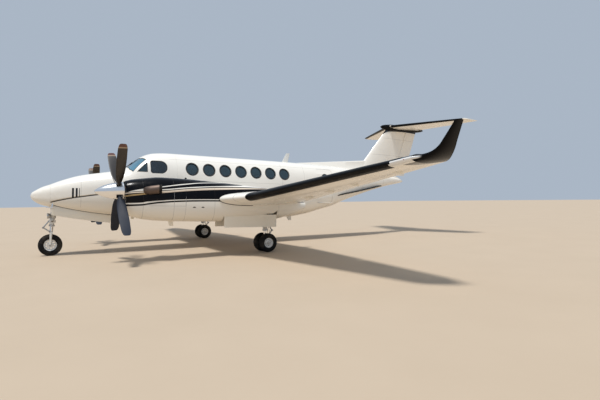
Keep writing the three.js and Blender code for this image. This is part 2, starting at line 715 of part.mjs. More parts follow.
const rudderSpec = { ...rudder, gap: surfaceGap };
const underRudder = block([-200, finFootEnd, 2300], [200, 13400, 2600]);
place(level, 'fin', wholeFin.add(dorsal).subtract(finBody(finCavity)).subtract(fuselageSeat)
  .subtract(bulletSeat).subtract(hingedSlot(rudderFrom, rudderTo, rudderSpec))
  .subtract(underRudder), 'cream');
place(level, 'rudder', hingedSurface(wholeFin, rudderFrom, rudderTo, rudderSpec), 'cream');

const wholeTailplane = bothHalves(wingBody(tailplaneSections, 0, 0));
const tailplaneSeat = bothHalves(wingBody(tailplaneSections, seatMargin, 0));
const elevatorFrom = vector(elevator.from);
const elevatorTo = vector(elevator.to);
const elevatorSlot = hingedSlot(elevatorFrom, elevatorTo, elevator);
const tailplaneHollow = bothHalves(wingBody(tailplaneCavity, 0, 0));
const tailplaneVent = bar([0, tailplaneHole.station, 4300],
  [0, tailplaneHole.station, tailplaneCavity[0][3]], tailplaneHole.radius);
place(level, 'tailplane', wholeTailplane.subtract(tailplaneHollow).subtract(tailplaneVent)
  .subtract(elevatorSlot).subtract(mirrored(elevatorSlot)), 'cream');
placeBothSides(
  level, 'elevator', hingedSurface(wholeTailplane, elevatorFrom, elevatorTo, elevator), 'cream');
place(level, 'tail_bullet', solid(loft(bulletRing(0))).subtract(tailplaneSeat), 'black');

// An exhaust stack, out through the cowl and aft, made fatter by a margin for its hole.
const stack = (side, margin) => {
  const path = new THREE.CatmullRomCurve3(exhaust.path.map(([reach, aft, rise]) => new THREE.Vector3(
    nacelleCentre + side * reach, exhaust.station + aft, exhaust.level + rise)));
  const ring = new THREE.Shape();
  ring.absarc(0, 0, exhaust.radius + margin, 0, 2 * Math.PI);
  return solid(new THREE.ExtrudeGeometry(ring, { steps: 4, curveSegments: 5, extrudePath: path }));
};

// Nacelles: a thin shell with an engine bay, a firewall and an open wheel well.
const intakeCut = prism(
  roundedOutline(-intake.halfWidth, intake.halfWidth, intake.low, intake.high, intake.corner),
  0, intake.depth, 'z').rotate([90, 0, 0]).translate([nacelleCentre, nacelleFront + intake.depth / 2, 0]);
const exhaustHoles = joined([stack(1, exhaust.clear), stack(-1, exhaust.clear)]);
const bay = nacelleHollow([1870, 2160, 2600, firewall.front]);
const rearBay = nacelleHollow([firewall.back, 4620, 5300, 6000]);
const spinnerOpening = bar([nacelleCentre, spinnerHole.from, thrustLine],
  [nacelleCentre, spinnerHole.to, thrustLine], spinnerHole.radius, spinnerHole.radius, spinnerHole.sides);
const mouthHalf = wheelWell.halfWidth + wheelWell.lip;
const wellMouth = block(
  [nacelleCentre - mouthHalf, wheelWell.front, 500],
  [nacelleCentre + mouthHalf, wheelWell.back, wheelWell.lipTop]);
const nacelle = nacelleBody(nacelleFront, nacelleEnd).subtract(bay).subtract(rearBay)
  .subtract(spinnerOpening).subtract(intakeCut).subtract(exhaustHoles)
  .subtract(well).subtract(wellMouth).subtract(centreSeat);
const [, ...rootRest] = wingOuterSections[0];
const outerSeat = wingBody([[wingBreak - 10, ...rootRest], ...wingOuterSections], seatMargin);
placeBothSides(level, 'nacelle', nacelle.subtract(outerSeat), 'cream');

// From the shaft's own axes, with its middle at the spinner's base, to its place in the nacelle.
const onShaft = (body) => body.rotate([THREE.MathUtils.radToDeg(shaftTilt), 0, 0])
  .translate([nacelleCentre, spinner.base, thrustLine]);

// Engines: one block each, with the shaft housing and the two exhaust stacks.
const engineCase = bar([nacelleCentre, engine.front, engine.level],
  [nacelleCentre, firewall.front - seatGap, engine.level], engine.radius, engine.radius, engine.sides);
const gearboxNose = bar([0, hub.back + seatGap, 0],
  [0, engine.front + engine.noseOverlap - spinner.base, 0], engine.noseRadius);
const engineBlock = joined([engineCase, onShaft(gearboxNose), stack(1, 0), stack(-1, 0)]);
placeBothSides(level, 'engine', engineBlock, 'bronze');

// Propellers, feathered, and their spinners.
function bladeRing([radius, chord, thickness, twistDegrees]) {
  const twist = THREE.MathUtils.degToRad(twistDegrees);
  const { widest, forward, aft } = blade;
  const outline = [
    [-0.5, 0], [forward, widest], [aft, widest], [0.5, 0], [aft, -widest], [forward, -widest],
  ];
  return outline.map(([along, across]) => {
    const [c, t] = [along * chord, across * thickness];
    return [
      c * Math.sin(twist) + t * Math.cos(twist),
      c * Math.cos(twist) - t * Math.sin(twist),
      radius,
    ];
  });
}
const oneBlade = solid(loft(bladeSections.map(bladeRing)));
const bladeAngles = Array.from(
  { length: bladeCount }, (_, i) => bladeStart + (2 * Math.PI * i) / bladeCount);
const aboutHub = (body) => bladeAngles.map(
  (angle) => body.rotate([0, THREE.MathUtils.radToDeg(angle), 0]).translate([0, bladeSet, 0]));
const hubBar = bar([0, hub.front, 0], [0, hub.back, 0], hub.radius, hub.radius, hub.sides);
// Both propellers turn the same way, so the starboard one is a copy and not a mirror image.
const propeller = onShaft(joined([hubBar, ...aboutHub(oneBlade)]));
place(level, 'propeller_port', propeller, 'blade');
place(level, 'propeller_starboard', propeller.translate([-2 * nacelleCentre, 0, 0]), 'blade');

const dome = (radius, length) => {
  const profile = Array.from({ length: spinner.steps + 1 }, (_, i) => {
    const part = i / spinner.steps;
    return new THREE.Vector2(
      radius * Math.sin((part * Math.PI) / 2) ** spinner.fullness,
      -length * (1 - part ** spinner.sharpness));
  }).reverse();
  return solid(new THREE.LatheGeometry([new THREE.Vector2(0, 0), ...profile], wheelSides));
};
const domeInner = dome(spinner.radius - spinner.wall, spinner.length - spinner.tipWall)
  .intersect(block([-400, -800, -400], [400, spinner.floor, 400]));
const hubSeat = bar([0, hub.front - 100, 0], [0, 100, 0],
  hub.radius + seatGap, hub.radius + seatGap, hub.sides);
const rootHoles = joined(aboutHub(block(
  [-rootHole.halfWidth, -rootHole.halfLength, rootHole.from],
  [rootHole.halfWidth, rootHole.halfLength, rootHole.to])));
const spinnerShell = dome(spinner.radius, spinner.length)
  .subtract(domeInner).subtract(hubSeat).subtract(rootHoles);
placeBothSides(level, 'spinner', onShaft(spinnerShell), 'chromed');

// Gear doors, standing open in the edges of their wells.
const wellEdge = mouthHalf - seatGap;
[['main_door_outer', 1], ['main_door_inner', -1]].forEach(([name, side]) => {
  const near = nacelleCentre + side * (wellEdge - mainDoor.thickness);
  const far = nacelleCentre + side * wellEdge;
  placeBothSides(level, name, block([Math.min(near, far), mainDoor.front, mainDoor.bottom],
    [Math.max(near, far), mainDoor.back, mainDoor.top]), 'white');
});
const keelAt = (station) => sectionAt(fuselageSections, station)[3];
const noseDoorEdge = noseWell.halfWidth - seatGap;
const noseDoorOutline = [
  [noseDoor.front, keelAt(noseDoor.front) + 60], [noseDoor.front, keelAt(noseDoor.front) - 110],
  [noseDoor.back - 60, keelAt(noseDoor.back) - 150], [noseDoor.back - 15, keelAt(noseDoor.back) + 60],
];
placeBothSides(level, 'nose_door', prism(
  noseDoorOutline, noseDoorEdge - noseDoor.thickness, noseDoorEdge, 'x'), 'white');

// Wheels: a rim that turns on its axle and a tyre round it, each with a flat facet on the ground.
function wheelLathe(outline, x, station, height) {
  const profile = outline.map(([radius, across]) => new THREE.Vector2(radius, across));
  const geometry = new THREE.LatheGeometry(profile, wheelSides);
  const facet = Math.PI / wheelSides;
  geometry.rotateZ(Math.PI / 2);
  geometry.rotateX(facet);
  geometry.scale(1, 1 / Math.cos(facet), 1 / Math.cos(facet));
  geometry.translate(x, station, height);
  return solid(geometry);
}
function tyreSolid(x, station, radius, width, rim) {
  const half = width / 2;
  return wheelLathe([
    [rim, -half * 0.62], [radius * 0.8, -half], [radius * 0.95, -half * 0.76], [radius, -half * 0.4],
    [radius, half * 0.4], [radius * 0.95, half * 0.76], [radius * 0.8, half], [rim, half * 0.62],
    [rim, -half * 0.62],
  ], x, station, radius);
}
function rimSolid(x, station, height, rim, half, dish) {
  return wheelLathe([
    [0, -half + dish], [rim - 22, -half + dish], [rim - 16, -half], [rim - seatGap, -half],
    [rim - seatGap, half], [rim - 16, half], [rim - 22, half - dish], [0, half - dish],
  ], x, station, height);
}
place(undercarriage, 'nose_tyre',
  tyreSolid(0, noseWheel.station, noseWheel.radius, noseWheel.width, noseWheel.rim), 'tyre');
place(undercarriage, 'nose_rim', rimSolid(0, noseWheel.station, noseWheel.radius,
  noseWheel.rim, noseWheel.rimHalf, noseWheel.dish), 'white');

// Nose leg, with the trunnion across the well and a drag brace, and the steered fork below it.
const alongLeg = (height) => noseLeg.station - (noseLeg.top - height) * noseLeg.rake;
const legPoint = (height) => [0, alongLeg(height), height];
const trunnionHalf = noseWell.halfWidth - seatGap;
const noseBrace = onGround(0, 1200, 1400);
const noseUpright = joined([
  bar(legPoint(noseLeg.collar), legPoint(noseLeg.top), noseLeg.radius, noseLeg.radius, legSides),
  bar([-trunnionHalf, alongLeg(noseLeg.trunnion), noseLeg.trunnion],
    [trunnionHalf, alongLeg(noseLeg.trunnion), noseLeg.trunnion], 32),
  bar(legPoint(1000), [0, noseBrace[1], noseBrace[2]], 22),
  bar([-trunnionHalf, noseBrace[1], noseBrace[2]], [trunnionHalf, noseBrace[1], noseBrace[2]], 22),
]);
place(undercarriage, 'nose_leg', noseUpright, 'white');

const forkHalf = 112;
const crownHeight = 610;
const forkArm = (side) => joined([
  bar([side * forkHalf, noseWheel.station, noseWheel.radius],
    [side * forkHalf, alongLeg(560), 585], 24, 30),
  bar([side * forkHalf, alongLeg(crownHeight), crownHeight - 20],
    [0, alongLeg(crownHeight), crownHeight], 34),
]);
const stubEnd = noseWheel.rimHalf - noseWheel.dish + seatGap;
const stubAxle = (side) => bar([side * stubEnd, noseWheel.station, noseWheel.radius],
  [side * (forkHalf + 20), noseWheel.station, noseWheel.radius], 26);
const legBore = boreRadius(noseLeg.radius, legSides);
const collarRing = bar(legPoint(860), legPoint(930), 84, 84, legSides)
  .subtract(bar(legPoint(800), legPoint(990), legBore, legBore, legSides));
const scissorApex = [0, alongLeg(730) - 190, 735];
const fork = joined([
  forkArm(1), forkArm(-1),
  stubAxle(1), stubAxle(-1),
  bar(legPoint(crownHeight - 30), legPoint(noseLeg.collar - seatGap), 40, 40, legSides),
  bar([0, alongLeg(620) - 30, 625], scissorApex, 18),
  bar(scissorApex, [0, alongLeg(890) - 78, 890], 18),
  collarRing,
]);
place(undercarriage, 'nose_fork', fork, 'alloy');

// Main legs with their axles, torque links and drag braces, and the twin wheels.
const trunnion = onGround(nacelleCentre, mainLeg.trunnionStation, mainLeg.trunnionLevel);
const braceEnd = onGround(nacelleCentre, 4600, 1180);
const mainTrunnionHalf = wheelWell.halfWidth - seatGap;
const axleHeight = mainWheel.radius;
const axle = (from, to, radius) => bar([nacelleCentre + from, mainGearStation, axleHeight],
  [nacelleCentre + to, mainGearStation, axleHeight], radius);
const linkApex = [nacelleCentre, mainGearStation + 210, 560];
const mainUpright = joined([
  bar([nacelleCentre, mainGearStation, 560], [nacelleCentre, trunnion[1], trunnion[2]], mainLeg.radius,
    mainLeg.radius, 16),
  bar([nacelleCentre, mainGearStation, axleHeight], [nacelleCentre, mainGearStation, 600], mainLeg.piston,
    mainLeg.piston, 16),
  bar([nacelleCentre - mainTrunnionHalf, trunnion[1], trunnion[2]],
    [nacelleCentre + mainTrunnionHalf, trunnion[1], trunnion[2]], 38),
  bar([nacelleCentre, mainGearStation, 700], [nacelleCentre, braceEnd[1], braceEnd[2]], 26),
  bar([nacelleCentre - mainTrunnionHalf, braceEnd[1], braceEnd[2]],
    [nacelleCentre + mainTrunnionHalf, braceEnd[1], braceEnd[2]], 26),
  bar([nacelleCentre, mainGearStation + 30, 330], linkApex, 18),
  bar(linkApex, [nacelleCentre, mainGearStation + 50, 800], 18),
  axle(-60, 60, 46),
]).subtract(axle(-100, 100, boreRadius(mainWheel.axle, barSides)));
placeBothSides(undercarriage, 'main_leg', mainUpright, 'white');

const twinRims = [axle(-mainWheel.offset, mainWheel.offset, mainWheel.axle)];
[['outboard', 1], ['inboard', -1]].forEach(([name, side]) => {
  const x = nacelleCentre + side * mainWheel.offset;
  placeBothSides(undercarriage, `main_tyre_${name}`,
    tyreSolid(x, mainGearStation, mainWheel.radius, mainWheel.width, mainWheel.rim), 'tyre');
  twinRims.push(rimSolid(x, mainGearStation, axleHeight, mainWheel.rim, mainWheel.rimHalf, mainWheel.dish));
  twinRims.push(axle(side * (60 + seatGap), side * mainWheel.offset, 42));
});
placeBothSides(undercarriage, 'main_rims', joined(twinRims), 'white');

export default plane;
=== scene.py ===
from math import ceil, cos, hypot, pi, radians, sin, sqrt

import bmesh
import bpy
import numpy as np
from mathutils import Matrix, Vector


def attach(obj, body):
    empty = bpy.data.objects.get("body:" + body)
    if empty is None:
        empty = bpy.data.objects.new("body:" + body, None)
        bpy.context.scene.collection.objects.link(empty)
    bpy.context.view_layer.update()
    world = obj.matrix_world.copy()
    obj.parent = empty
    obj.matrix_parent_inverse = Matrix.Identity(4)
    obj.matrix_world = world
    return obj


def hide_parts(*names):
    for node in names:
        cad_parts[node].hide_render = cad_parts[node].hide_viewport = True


# Turboprop business plane. The airframe is drawn level as (x, station, waterline) in metres,
# with stations counted aft from the nose, and then pitched nose-up as it parks.
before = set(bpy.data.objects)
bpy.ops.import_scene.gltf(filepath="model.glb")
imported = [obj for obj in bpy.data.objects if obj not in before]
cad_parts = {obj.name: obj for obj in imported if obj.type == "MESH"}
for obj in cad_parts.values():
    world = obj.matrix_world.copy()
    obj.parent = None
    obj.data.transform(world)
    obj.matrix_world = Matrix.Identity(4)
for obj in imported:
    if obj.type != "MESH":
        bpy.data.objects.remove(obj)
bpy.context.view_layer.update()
print("frame loaded")

stance = {"pitch": 0.0297, "gearStation": 5.37, "middleStation": 7.11}
shift = stance["gearStation"] - stance["middleStation"]
levelFrame = (
    Matrix.Translation((0, shift, 0))
    @ Matrix.Rotation(-stance["pitch"], 4, "X")
    @ Matrix.Translation((0, -stance["gearStation"], 0))
)
groundFrame = Matrix.Translation((0, -stance["middleStation"], 0))
handed = (("port", 1), ("starboard", -1))


# Meshes

def newObject(name, data):
    made = bpy.data.objects.new(name, data)
    bpy.context.scene.collection.objects.link(made)
    return made


def rawPiece(name, points, faces, place=levelFrame):
    mesh = bpy.data.meshes.new(name)
    mesh.from_pydata([tuple(point) for point in points], [], [tuple(face) for face in faces])
    mesh.transform(place)
    return newObject(name, mesh)


def turns(count):  # angles evenly round a circle
    return [2 * pi * k / count for k in range(count)]


def outward(piece):  # turns the faces of a closed mesh outwards
    sheet = bmesh.new()
    sheet.from_mesh(piece.data)
    bmesh.ops.remove_doubles(sheet, verts=sheet.verts, dist=1e-6)
    bmesh.ops.recalc_face_normals(sheet, faces=sheet.faces)
    sheet.to_mesh(piece.data)
    sheet.free()
    return piece


def lofted(name, rings, place=levelFrame, looped=False):
    # a closed skin over rings of points, with flat ends unless the last ring meets the first
    count = len(rings[0])
    points = [point for ring in rings for point in ring]
    pairs = list(zip(range(len(rings) - 1), range(1, len(rings))))
    if looped:
        pairs.append((len(rings) - 1, 0))
    faces = []
    for near, far in pairs:
        for i in range(count):
            j = (i + 1) % count
            faces.append((near * count + i, near * count + j, far * count + j, far * count + i))
    if not looped:
        faces.append(tuple(range(count)))
        faces.append(tuple(range(len(points) - count, len(points))))
    return outward(rawPiece(name, points, faces, place))


boxFaces = ((0, 1, 3, 2), (4, 6, 7, 5), (0, 4, 5, 1), (2, 3, 7, 6), (0, 2, 6, 4), (1, 5, 7, 3))


def boxPiece(name, low, high, place=levelFrame):
    corners = [(x, y, z) for x in (low[0], high[0]) for y in (low[1], high[1]) for z in (low[2], high[2])]
    return outward(rawPiece(name, corners, boxFaces, place))


def barPiece(name, path, radii, sides=20, place=levelFrame):
    # a round bar through a path of points, with one radius for each
    points = [Vector(point) for point in path]
    if not hasattr(radii, "__len__"):
        radii = [radii] * len(points)
    rings = []
    first = (points[1] - points[0]).normalized()
    helper = Vector((0, 0, 1)) if abs(first.z) < 0.9 else Vector((1, 0, 0))
    across = first.cross(helper).normalized()
    for i, (point, radius) in enumerate(zip(points, radii)):
        ahead = (points[min(i + 1, len(points) - 1)] - points[max(i - 1, 0)]).normalized()
        across = (across - ahead * across.dot(ahead)).normalized()
        upward = ahead.cross(across)
        rings.append([point + across * (radius * cos(turn)) + upward * (radius * sin(turn))
                      for turn in turns(sides)])
    return lofted(name, rings, place)


def sweptOutline(name, outline, start, end, axis="x", place=levelFrame):
    # an outline of (station, waterline) swept along x, or of (x, station) swept upwards
    if axis == "x":
        rings = [[(depth, a, b) for a, b in outline] for depth in (start, end)]
    else:
        rings = [[(a, b, depth) for a, b in outline] for depth in (start, end)]
    return lofted(name, rings, place)


def roundedBox(left, right, low, high, corner, leftCorner=None, steps=10):
    outline = []
    near = corner if leftCorner is None else leftCorner
    for cx, cy, first, radius in (
            (right - corner, low + corner, -90, corner), (right - corner, high - corner, 0, corner),
            (left + near, high - near, 90, near), (left + near, low + near, 180, near)):
        for i in range(steps + 1):
            turn = radians(first + 90 * i / steps)
            outline.append((cx + radius * cos(turn), cy + radius * sin(turn)))
    return outline


def drawnIn(outline, margin, steps=1):
    # an outline (anticlockwise) moved inwards by a margin, with points along its sides
    points = []
    for i, point in enumerate(outline):
        ways = []
        for a, b in ((outline[i - 1], point), (point, outline[(i + 1) % len(outline)])):
            size = hypot(b[0] - a[0], b[1] - a[1])
            ways.append(((a[1] - b[1]) / size, (b[0] - a[0]) / size))
        share = margin / (1 + ways[0][0] * ways[1][0] + ways[0][1] * ways[1][1])
        points.append(tuple(point[k] + share * (ways[0][k] + ways[1][k]) for k in (0, 1)))
    finer = []
    for a, b in zip(points, points[1:] + points[:1]):
        for i in range(steps):
            finer.append((a[0] + (b[0] - a[0]) * i / steps, a[1] + (b[1] - a[1]) * i / steps))
    return finer


def ellipse(centre, across, up, count):
    return [(centre[0] + across * cos(turn), centre[1] + up * sin(turn)) for turn in turns(count)]


def circle(centre, radius):
    return ellipse(centre, radius, radius, 48)


def turned(name, profile, centre, sides):
    # a closed profile of (radius, across) turned about an axis along x through the centre
    x, y, z = centre
    rings = [[(x + across, y + radius * cos(turn), z + radius * sin(turn)) for turn in turns(sides)]
             for radius, across in profile]
    return lofted(name, rings, groundFrame, looped=True)


def bakeModifiers(piece):
    bpy.context.view_layer.update()
    graph = bpy.context.evaluated_depsgraph_get()
    mesh = bpy.data.meshes.new_from_object(piece.evaluated_get(graph))
    piece.modifiers.clear()
    piece.data = mesh
    return piece


def carve(piece, cutters):  # cuts the pieces given away, and removes them
    for cutter in cutters:
        step = piece.modifiers.new("carve", "BOOLEAN")
        step.operation = "DIFFERENCE"
        step.solver = "EXACT"
        step.object = cutter
    bakeModifiers(piece)
    for cutter in cutters:
        bpy.data.objects.remove(cutter)


def joinPieces(name, parts):
    sheet = bmesh.new()
    slots = []
    for part in parts:
        offset = len(slots)
        slots.extend(part.data.materials)
        before = len(sheet.faces)
        sheet.from_mesh(part.data)
        sheet.faces.ensure_lookup_table()
        for face in sheet.faces[before:]:
            face.material_index += offset
    mesh = bpy.data.meshes.new(name)
    sheet.to_mesh(mesh)
    sheet.free()
    for slot in slots:
        mesh.materials.append(slot)
    for part in parts:
        bpy.data.objects.remove(part)
    return newObject(name, mesh)


def mirroredPiece(piece, name):
    mesh = piece.data.copy()
    mesh.transform(Matrix.Scale(-1, 4, (1, 0, 0)))
    mesh.flip_normals()
    mesh.name = name
    return newObject(name, mesh)


def softenEdges(piece, width, segments=2):
    bevel = piece.modifiers.new("softened", "BEVEL")
    bevel.width = width
    bevel.segments = segments
    bevel.limit_method = "ANGLE"
    bevel.angle_limit = radians(40)
    return bakeModifiers(piece)


def shade(piece, sharpAngle):  # smooth faces that stay sharp at edges steeper than an angle
    sheet = bmesh.new()
    sheet.from_mesh(piece.data)
    limit = radians(sharpAngle)
    for face in sheet.faces:
        face.smooth = True
    for edge in sheet.edges:
        edge.smooth = len(edge.link_faces) == 2 and edge.calc_face_angle(0) < limit
    sheet.to_mesh(piece.data)
    sheet.free()


def dress(piece, material=None, nodes=(), sharpAngle=32, body="airframe"):
    # finish, body and slot of a piece, and the nodes whose shape it takes over
    if material is not None:
        piece.data.materials.clear()
        piece.data.materials.append(material)
    shade(piece, sharpAngle)
    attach(piece, body)
    if nodes:
        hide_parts(*nodes)


def dressBothSides(piece, stem, material=None, nodes=(), sharpAngle=32, body="airframe"):
    if isinstance(piece, list):
        piece = joinPieces(stem, piece)
    twin = mirroredPiece(piece, f"{stem}Starboard")
    piece.name = f"{stem}Port"
    for part, (side, _) in zip((piece, twin), handed):
        dress(part, material, [node.format(side) for node in nodes], sharpAngle, body.format(side))


# Smooth bodies from the tables of their sections

def eased(values, slopes, gap, row, t):  # a cubic between neighbouring values, with the slopes given there
    return ((2 * t**3 - 3 * t**2 + 1) * values[row] + (t**3 - 2 * t**2 + t) * gap * slopes[row]
            + (-2 * t**3 + 3 * t**2) * values[row + 1] + (t**3 - t**2) * gap * slopes[row + 1])


def smoothTable(rows, count):
    # rows on smooth curves through a short table, evenly along it
    table = np.array(rows, float)
    along = np.concatenate([[0], np.cumsum(np.hypot(np.diff(table[:, 0]), np.diff(table[:, 1])))])
    spots = np.linspace(0, along[-1], count)
    row = np.clip(np.searchsorted(along, spots, "right") - 1, 0, len(along) - 2)
    gap = along[row + 1] - along[row]
    share = (spots - along[row]) / gap
    return np.array([eased(column, np.gradient(column, along), gap, row, share) for column in table.T]).T


class Hull:
    # rows: station, half width, crown, keel, level of greatest width
    def __init__(self, rows, crownPower, keelPower, centre=0.0):
        table = np.array(rows, float)
        steps = np.hypot(np.diff(table[:, 0]), np.diff(table[:, 2]))
        along = np.concatenate([[0], np.cumsum(steps)])
        self.fine = np.linspace(0, along[-1], 4000)
        self.columns = [self.monotone(along, table[:, k]) for k in range(table.shape[1])]
        self.powers = (crownPower, keelPower)
        self.centre = centre

    def monotone(self, along, values):  # a smooth curve through the values that never overshoots
        gap = np.diff(along)
        slope = np.diff(values) / gap
        tangent = np.zeros(len(values))
        tangent[0], tangent[-1] = slope[0], slope[-1]
        for i in range(1, len(values) - 1):
            if slope[i - 1] * slope[i] > 0:
                near, far = 2 * gap[i] + gap[i - 1], gap[i] + 2 * gap[i - 1]
                tangent[i] = (near + far) / (near / slope[i - 1] + far / slope[i])
        row = np.clip(np.searchsorted(along, self.fine, "right") - 1, 0, len(gap) - 1)
        return eased(values, tangent, gap[row], row, (self.fine - along[row]) / gap[row])

    def at(self, station):
        return [float(np.interp(station, self.columns[0], column)) for column in self.columns[1:]]

    def stations(self, start, end, step):  # closer together where the outline is steep
        first, last = (float(np.interp(s, self.columns[0], self.fine)) for s in (start, end))
        count = max(2, int(ceil((last - first) / step)) + 1)
        inner = np.interp(np.linspace(first, last, count), self.fine, self.columns[0])
        return [start, *[float(s) for s in inner[1:-1]], end]

    def ring(self, station, inset=0.0, count=96):
        halfWidth, crown, keel, level = self.at(station)
        turn = np.linspace(0, 2 * pi, 721)
        across, up = np.cos(turn), np.sin(turn)
        power = np.where(up >= 0, 2 / self.powers[0], 2 / self.powers[1])
        wide = max(halfWidth - inset, 0.001)
        tall = np.where(up >= 0, max(crown - level - inset, 0.001), max(level - keel - inset, 0.001))
        x = np.sign(across) * np.abs(across) ** power * wide
        z = np.sign(up) * np.abs(up) ** power * tall
        reach = np.concatenate([[0], np.cumsum(np.hypot(np.diff(x), np.diff(z)))])
        spots = np.linspace(0, reach[-1], count + 1)[:-1]
        return [(self.centre + float(a), station, level + float(b))
                for a, b in zip(np.interp(spots, reach, x), np.interp(spots, reach, z))]

    def sideX(self, station, waterline, inset=0.0):  # how far out the skin is beside its centre
        halfWidth, crown, keel, level = self.at(station)
        above = waterline >= level
        power = self.powers[0] if above else self.powers[1]
        tall = (crown - level if above else level - keel) - inset
        share = min(abs(waterline - level) / max(tall, 1e-6), 1)
        return (halfWidth - inset) * (1 - share**power) ** (1 / power)

    def topW(self, station, x, inset=0.0, below=False):  # height of the skin above or below a point across
        halfWidth, crown, keel, level = self.at(station)
        power = self.powers[1] if below else self.powers[0]
        share = min(abs(x - self.centre) / (halfWidth - inset), 1)
        tall = (level - keel if below else crown - level) - inset
        return level + (-1 if below else 1) * tall * (1 - share**power) ** (1 / power)

    def sidePoint(self, station, waterline, inset=0.0, side=1):
        return Vector((self.centre + side * self.sideX(station, waterline, inset), station, waterline))

    def sideNormal(self, station, waterline, side=1):
        a, b = (self.sidePoint(station + step, waterline, 0, side) for step in (-0.004, 0.004))
        c, d = (self.sidePoint(station, waterline + step, 0, side) for step in (-0.004, 0.004))
        normal = (b - a).cross(d - c).normalized()
        return normal if normal.x * side > 0 else -normal


groove = {"depth": 0.003, "gap": 0.0004}


def hullRings(hull, start, end, step, count, blunt=False):
    # rings between two stations, with a fine groove where the hull meets its neighbours
    stations = hull.stations(start, end, step)
    rings = [hull.ring(s, 0, count) for s in stations]
    if not blunt:
        rings.insert(1, hull.ring(stations[0] + groove["depth"], 0, count))
        rings[0] = hull.ring(stations[0] + groove["gap"], groove["depth"], count)
    rings.insert(-1, hull.ring(stations[-1] - groove["depth"], 0, count))
    rings[-1] = hull.ring(stations[-1] - groove["gap"], groove["depth"], count)
    return rings


def hullTube(name, hull, start, end, wall, step=0.05, count=112):  # a shell between two stations
    inner = [hull.ring(s, wall, count) for s in reversed(hull.stations(start, end, step * 3))]
    return lofted(name, hullRings(hull, start, end, step, count) + inner, looped=True)


def hullSolid(name, hull, start, end, step=0.05, count=112, blunt=False):
    return lofted(name, hullRings(hull, start, end, step, count, blunt))


def skinStrip(name, spot, inner, outer, inset, thickness):
    # a thin closed strip between two outlines, laid by a function of (a, b, inset) on a skin
    low = inset - thickness
    rings = [[spot(*a, inset), spot(*b, inset), spot(*b, low), spot(*a, low)] for a, b in zip(inner, outer)]
    return lofted(name, rings, looped=True)


def roundStrip(spot, centre, inner, outer, inset, thickness):
    return skinStrip("strip", spot, circle(centre, inner), circle(centre, outer), inset, thickness)


def onSide(hull, side=1):
    return lambda station, waterline, inset: hull.sidePoint(station, waterline, inset, side)


def onTop(hull, side=1):
    return lambda x, station, inset: Vector((side * x, station, hull.topW(station, x, inset)))


def nodeTree(name, inputs, output):
    # a group with named inputs, and the functions that add its links and its nodes
    tree = bpy.data.node_groups.new(name, "GeometryNodeTree")
    for label, kind in inputs:
        tree.interface.new_socket(label, in_out="INPUT", socket_type="NodeSocket" + kind)
    tree.interface.new_socket(output, in_out="OUTPUT", socket_type="NodeSocketGeometry")
    return tree, tree.links.new, tree.nodes.new


def studTree():
    # a small tapered head on each point, square to its facing
    inputs = (("Places", "Geometry"), ("Radius", "Float"), ("Height", "Float"), ("Finish", "Material"))
    tree, link, new = nodeTree("headsOnPoints", inputs, "Heads")
    start, end = new("NodeGroupInput"), new("NodeGroupOutput")
    spots, head = new("GeometryNodeMeshToPoints"), new("GeometryNodeMeshCone")
    head.inputs["Vertices"].default_value = 8
    smaller = new("ShaderNodeMath")
    smaller.operation = "MULTIPLY"
    smaller.inputs[1].default_value = 0.62
    facing, aim = new("GeometryNodeInputNamedAttribute"), new("FunctionNodeAlignRotationToVector")
    facing.data_type = "FLOAT_VECTOR"
    facing.inputs["Name"].default_value = "facing"
    copies, solid = new("GeometryNodeInstanceOnPoints"), new("GeometryNodeRealizeInstances")
    finish = new("GeometryNodeSetMaterial")
    for source, target in (
            (start.outputs["Radius"], smaller.inputs[0]), (start.outputs["Height"], head.inputs["Depth"]),
            (start.outputs["Radius"], head.inputs["Radius Bottom"]),
            (smaller.outputs[0], head.inputs["Radius Top"]),
            (facing.outputs[0], aim.inputs["Vector"]), (start.outputs["Places"], spots.inputs["Mesh"]),
            (spots.outputs[0], copies.inputs["Points"]), (head.outputs["Mesh"], copies.inputs["Instance"]),
            (aim.outputs[0], copies.inputs["Rotation"]), (copies.outputs[0], solid.inputs[0]),
            (solid.outputs[0], finish.inputs["Geometry"]), (finish.outputs[0], end.inputs[0]),
            (start.outputs["Finish"], finish.inputs["Material"])):
        link(source, target)
    return tree


def studs(name, places, radius, height, material, place=levelFrame):
    # heads at places of (point, facing)
    piece = rawPiece(name, [point for point, _ in places], [], place)
    facing = piece.data.attributes.new("facing", "FLOAT_VECTOR", "POINT")
    for spot, (_, way) in zip(facing.data, places):
        spot.vector = place.to_3x3() @ Vector(way)
    step = piece.modifiers.new("heads", "NODES")
    step.node_group = headsOnPoints
    setInputs(step, {"Radius": radius, "Height": height, "Finish": material})
    return bakeModifiers(piece)


def setInputs(modifier, values):
    for item in modifier.node_group.interface.items_tree:
        if item.in_out == "INPUT" and item.name in values:
            modifier[item.identifier] = values[item.name]


headsOnPoints = studTree()


def skinPatch(name, spot, centre, outline, inset, thickness, rings=6):
    # a filled patch inside an outline, laid by a function on a skin, with its thickness inwards
    layers = []
    for k in range(rings + 1):
        share = k / rings
        layers.append([(centre[0] + (s - centre[0]) * share, centre[1] + (w - centre[1]) * share)
                       for s, w in outline])
    count = len(outline)
    points, faces = [], []
    for depth in (inset, inset + thickness):
        points.append(spot(*centre, depth))
        for layer in layers[1:]:
            points.extend(spot(a, b, depth) for a, b in layer)
    sheetSize = 1 + rings * count
    for base in (0, sheetSize):
        for i in range(count):
            j = (i + 1) % count
            faces.append((base, base + 1 + i, base + 1 + j))
            for k in range(rings - 1):
                a, b = base + 1 + k * count, base + 1 + (k + 1) * count
                faces.append((a + i, b + i, b + j, a + j))
    rim = 1 + (rings - 1) * count
    for i in range(count):
        j = (i + 1) % count
        faces.append((rim + i, rim + j, sheetSize + rim + j, sheetSize + rim + i))
    return outward(rawPiece(name, points, faces))


# Materials: shader maths as plain expressions

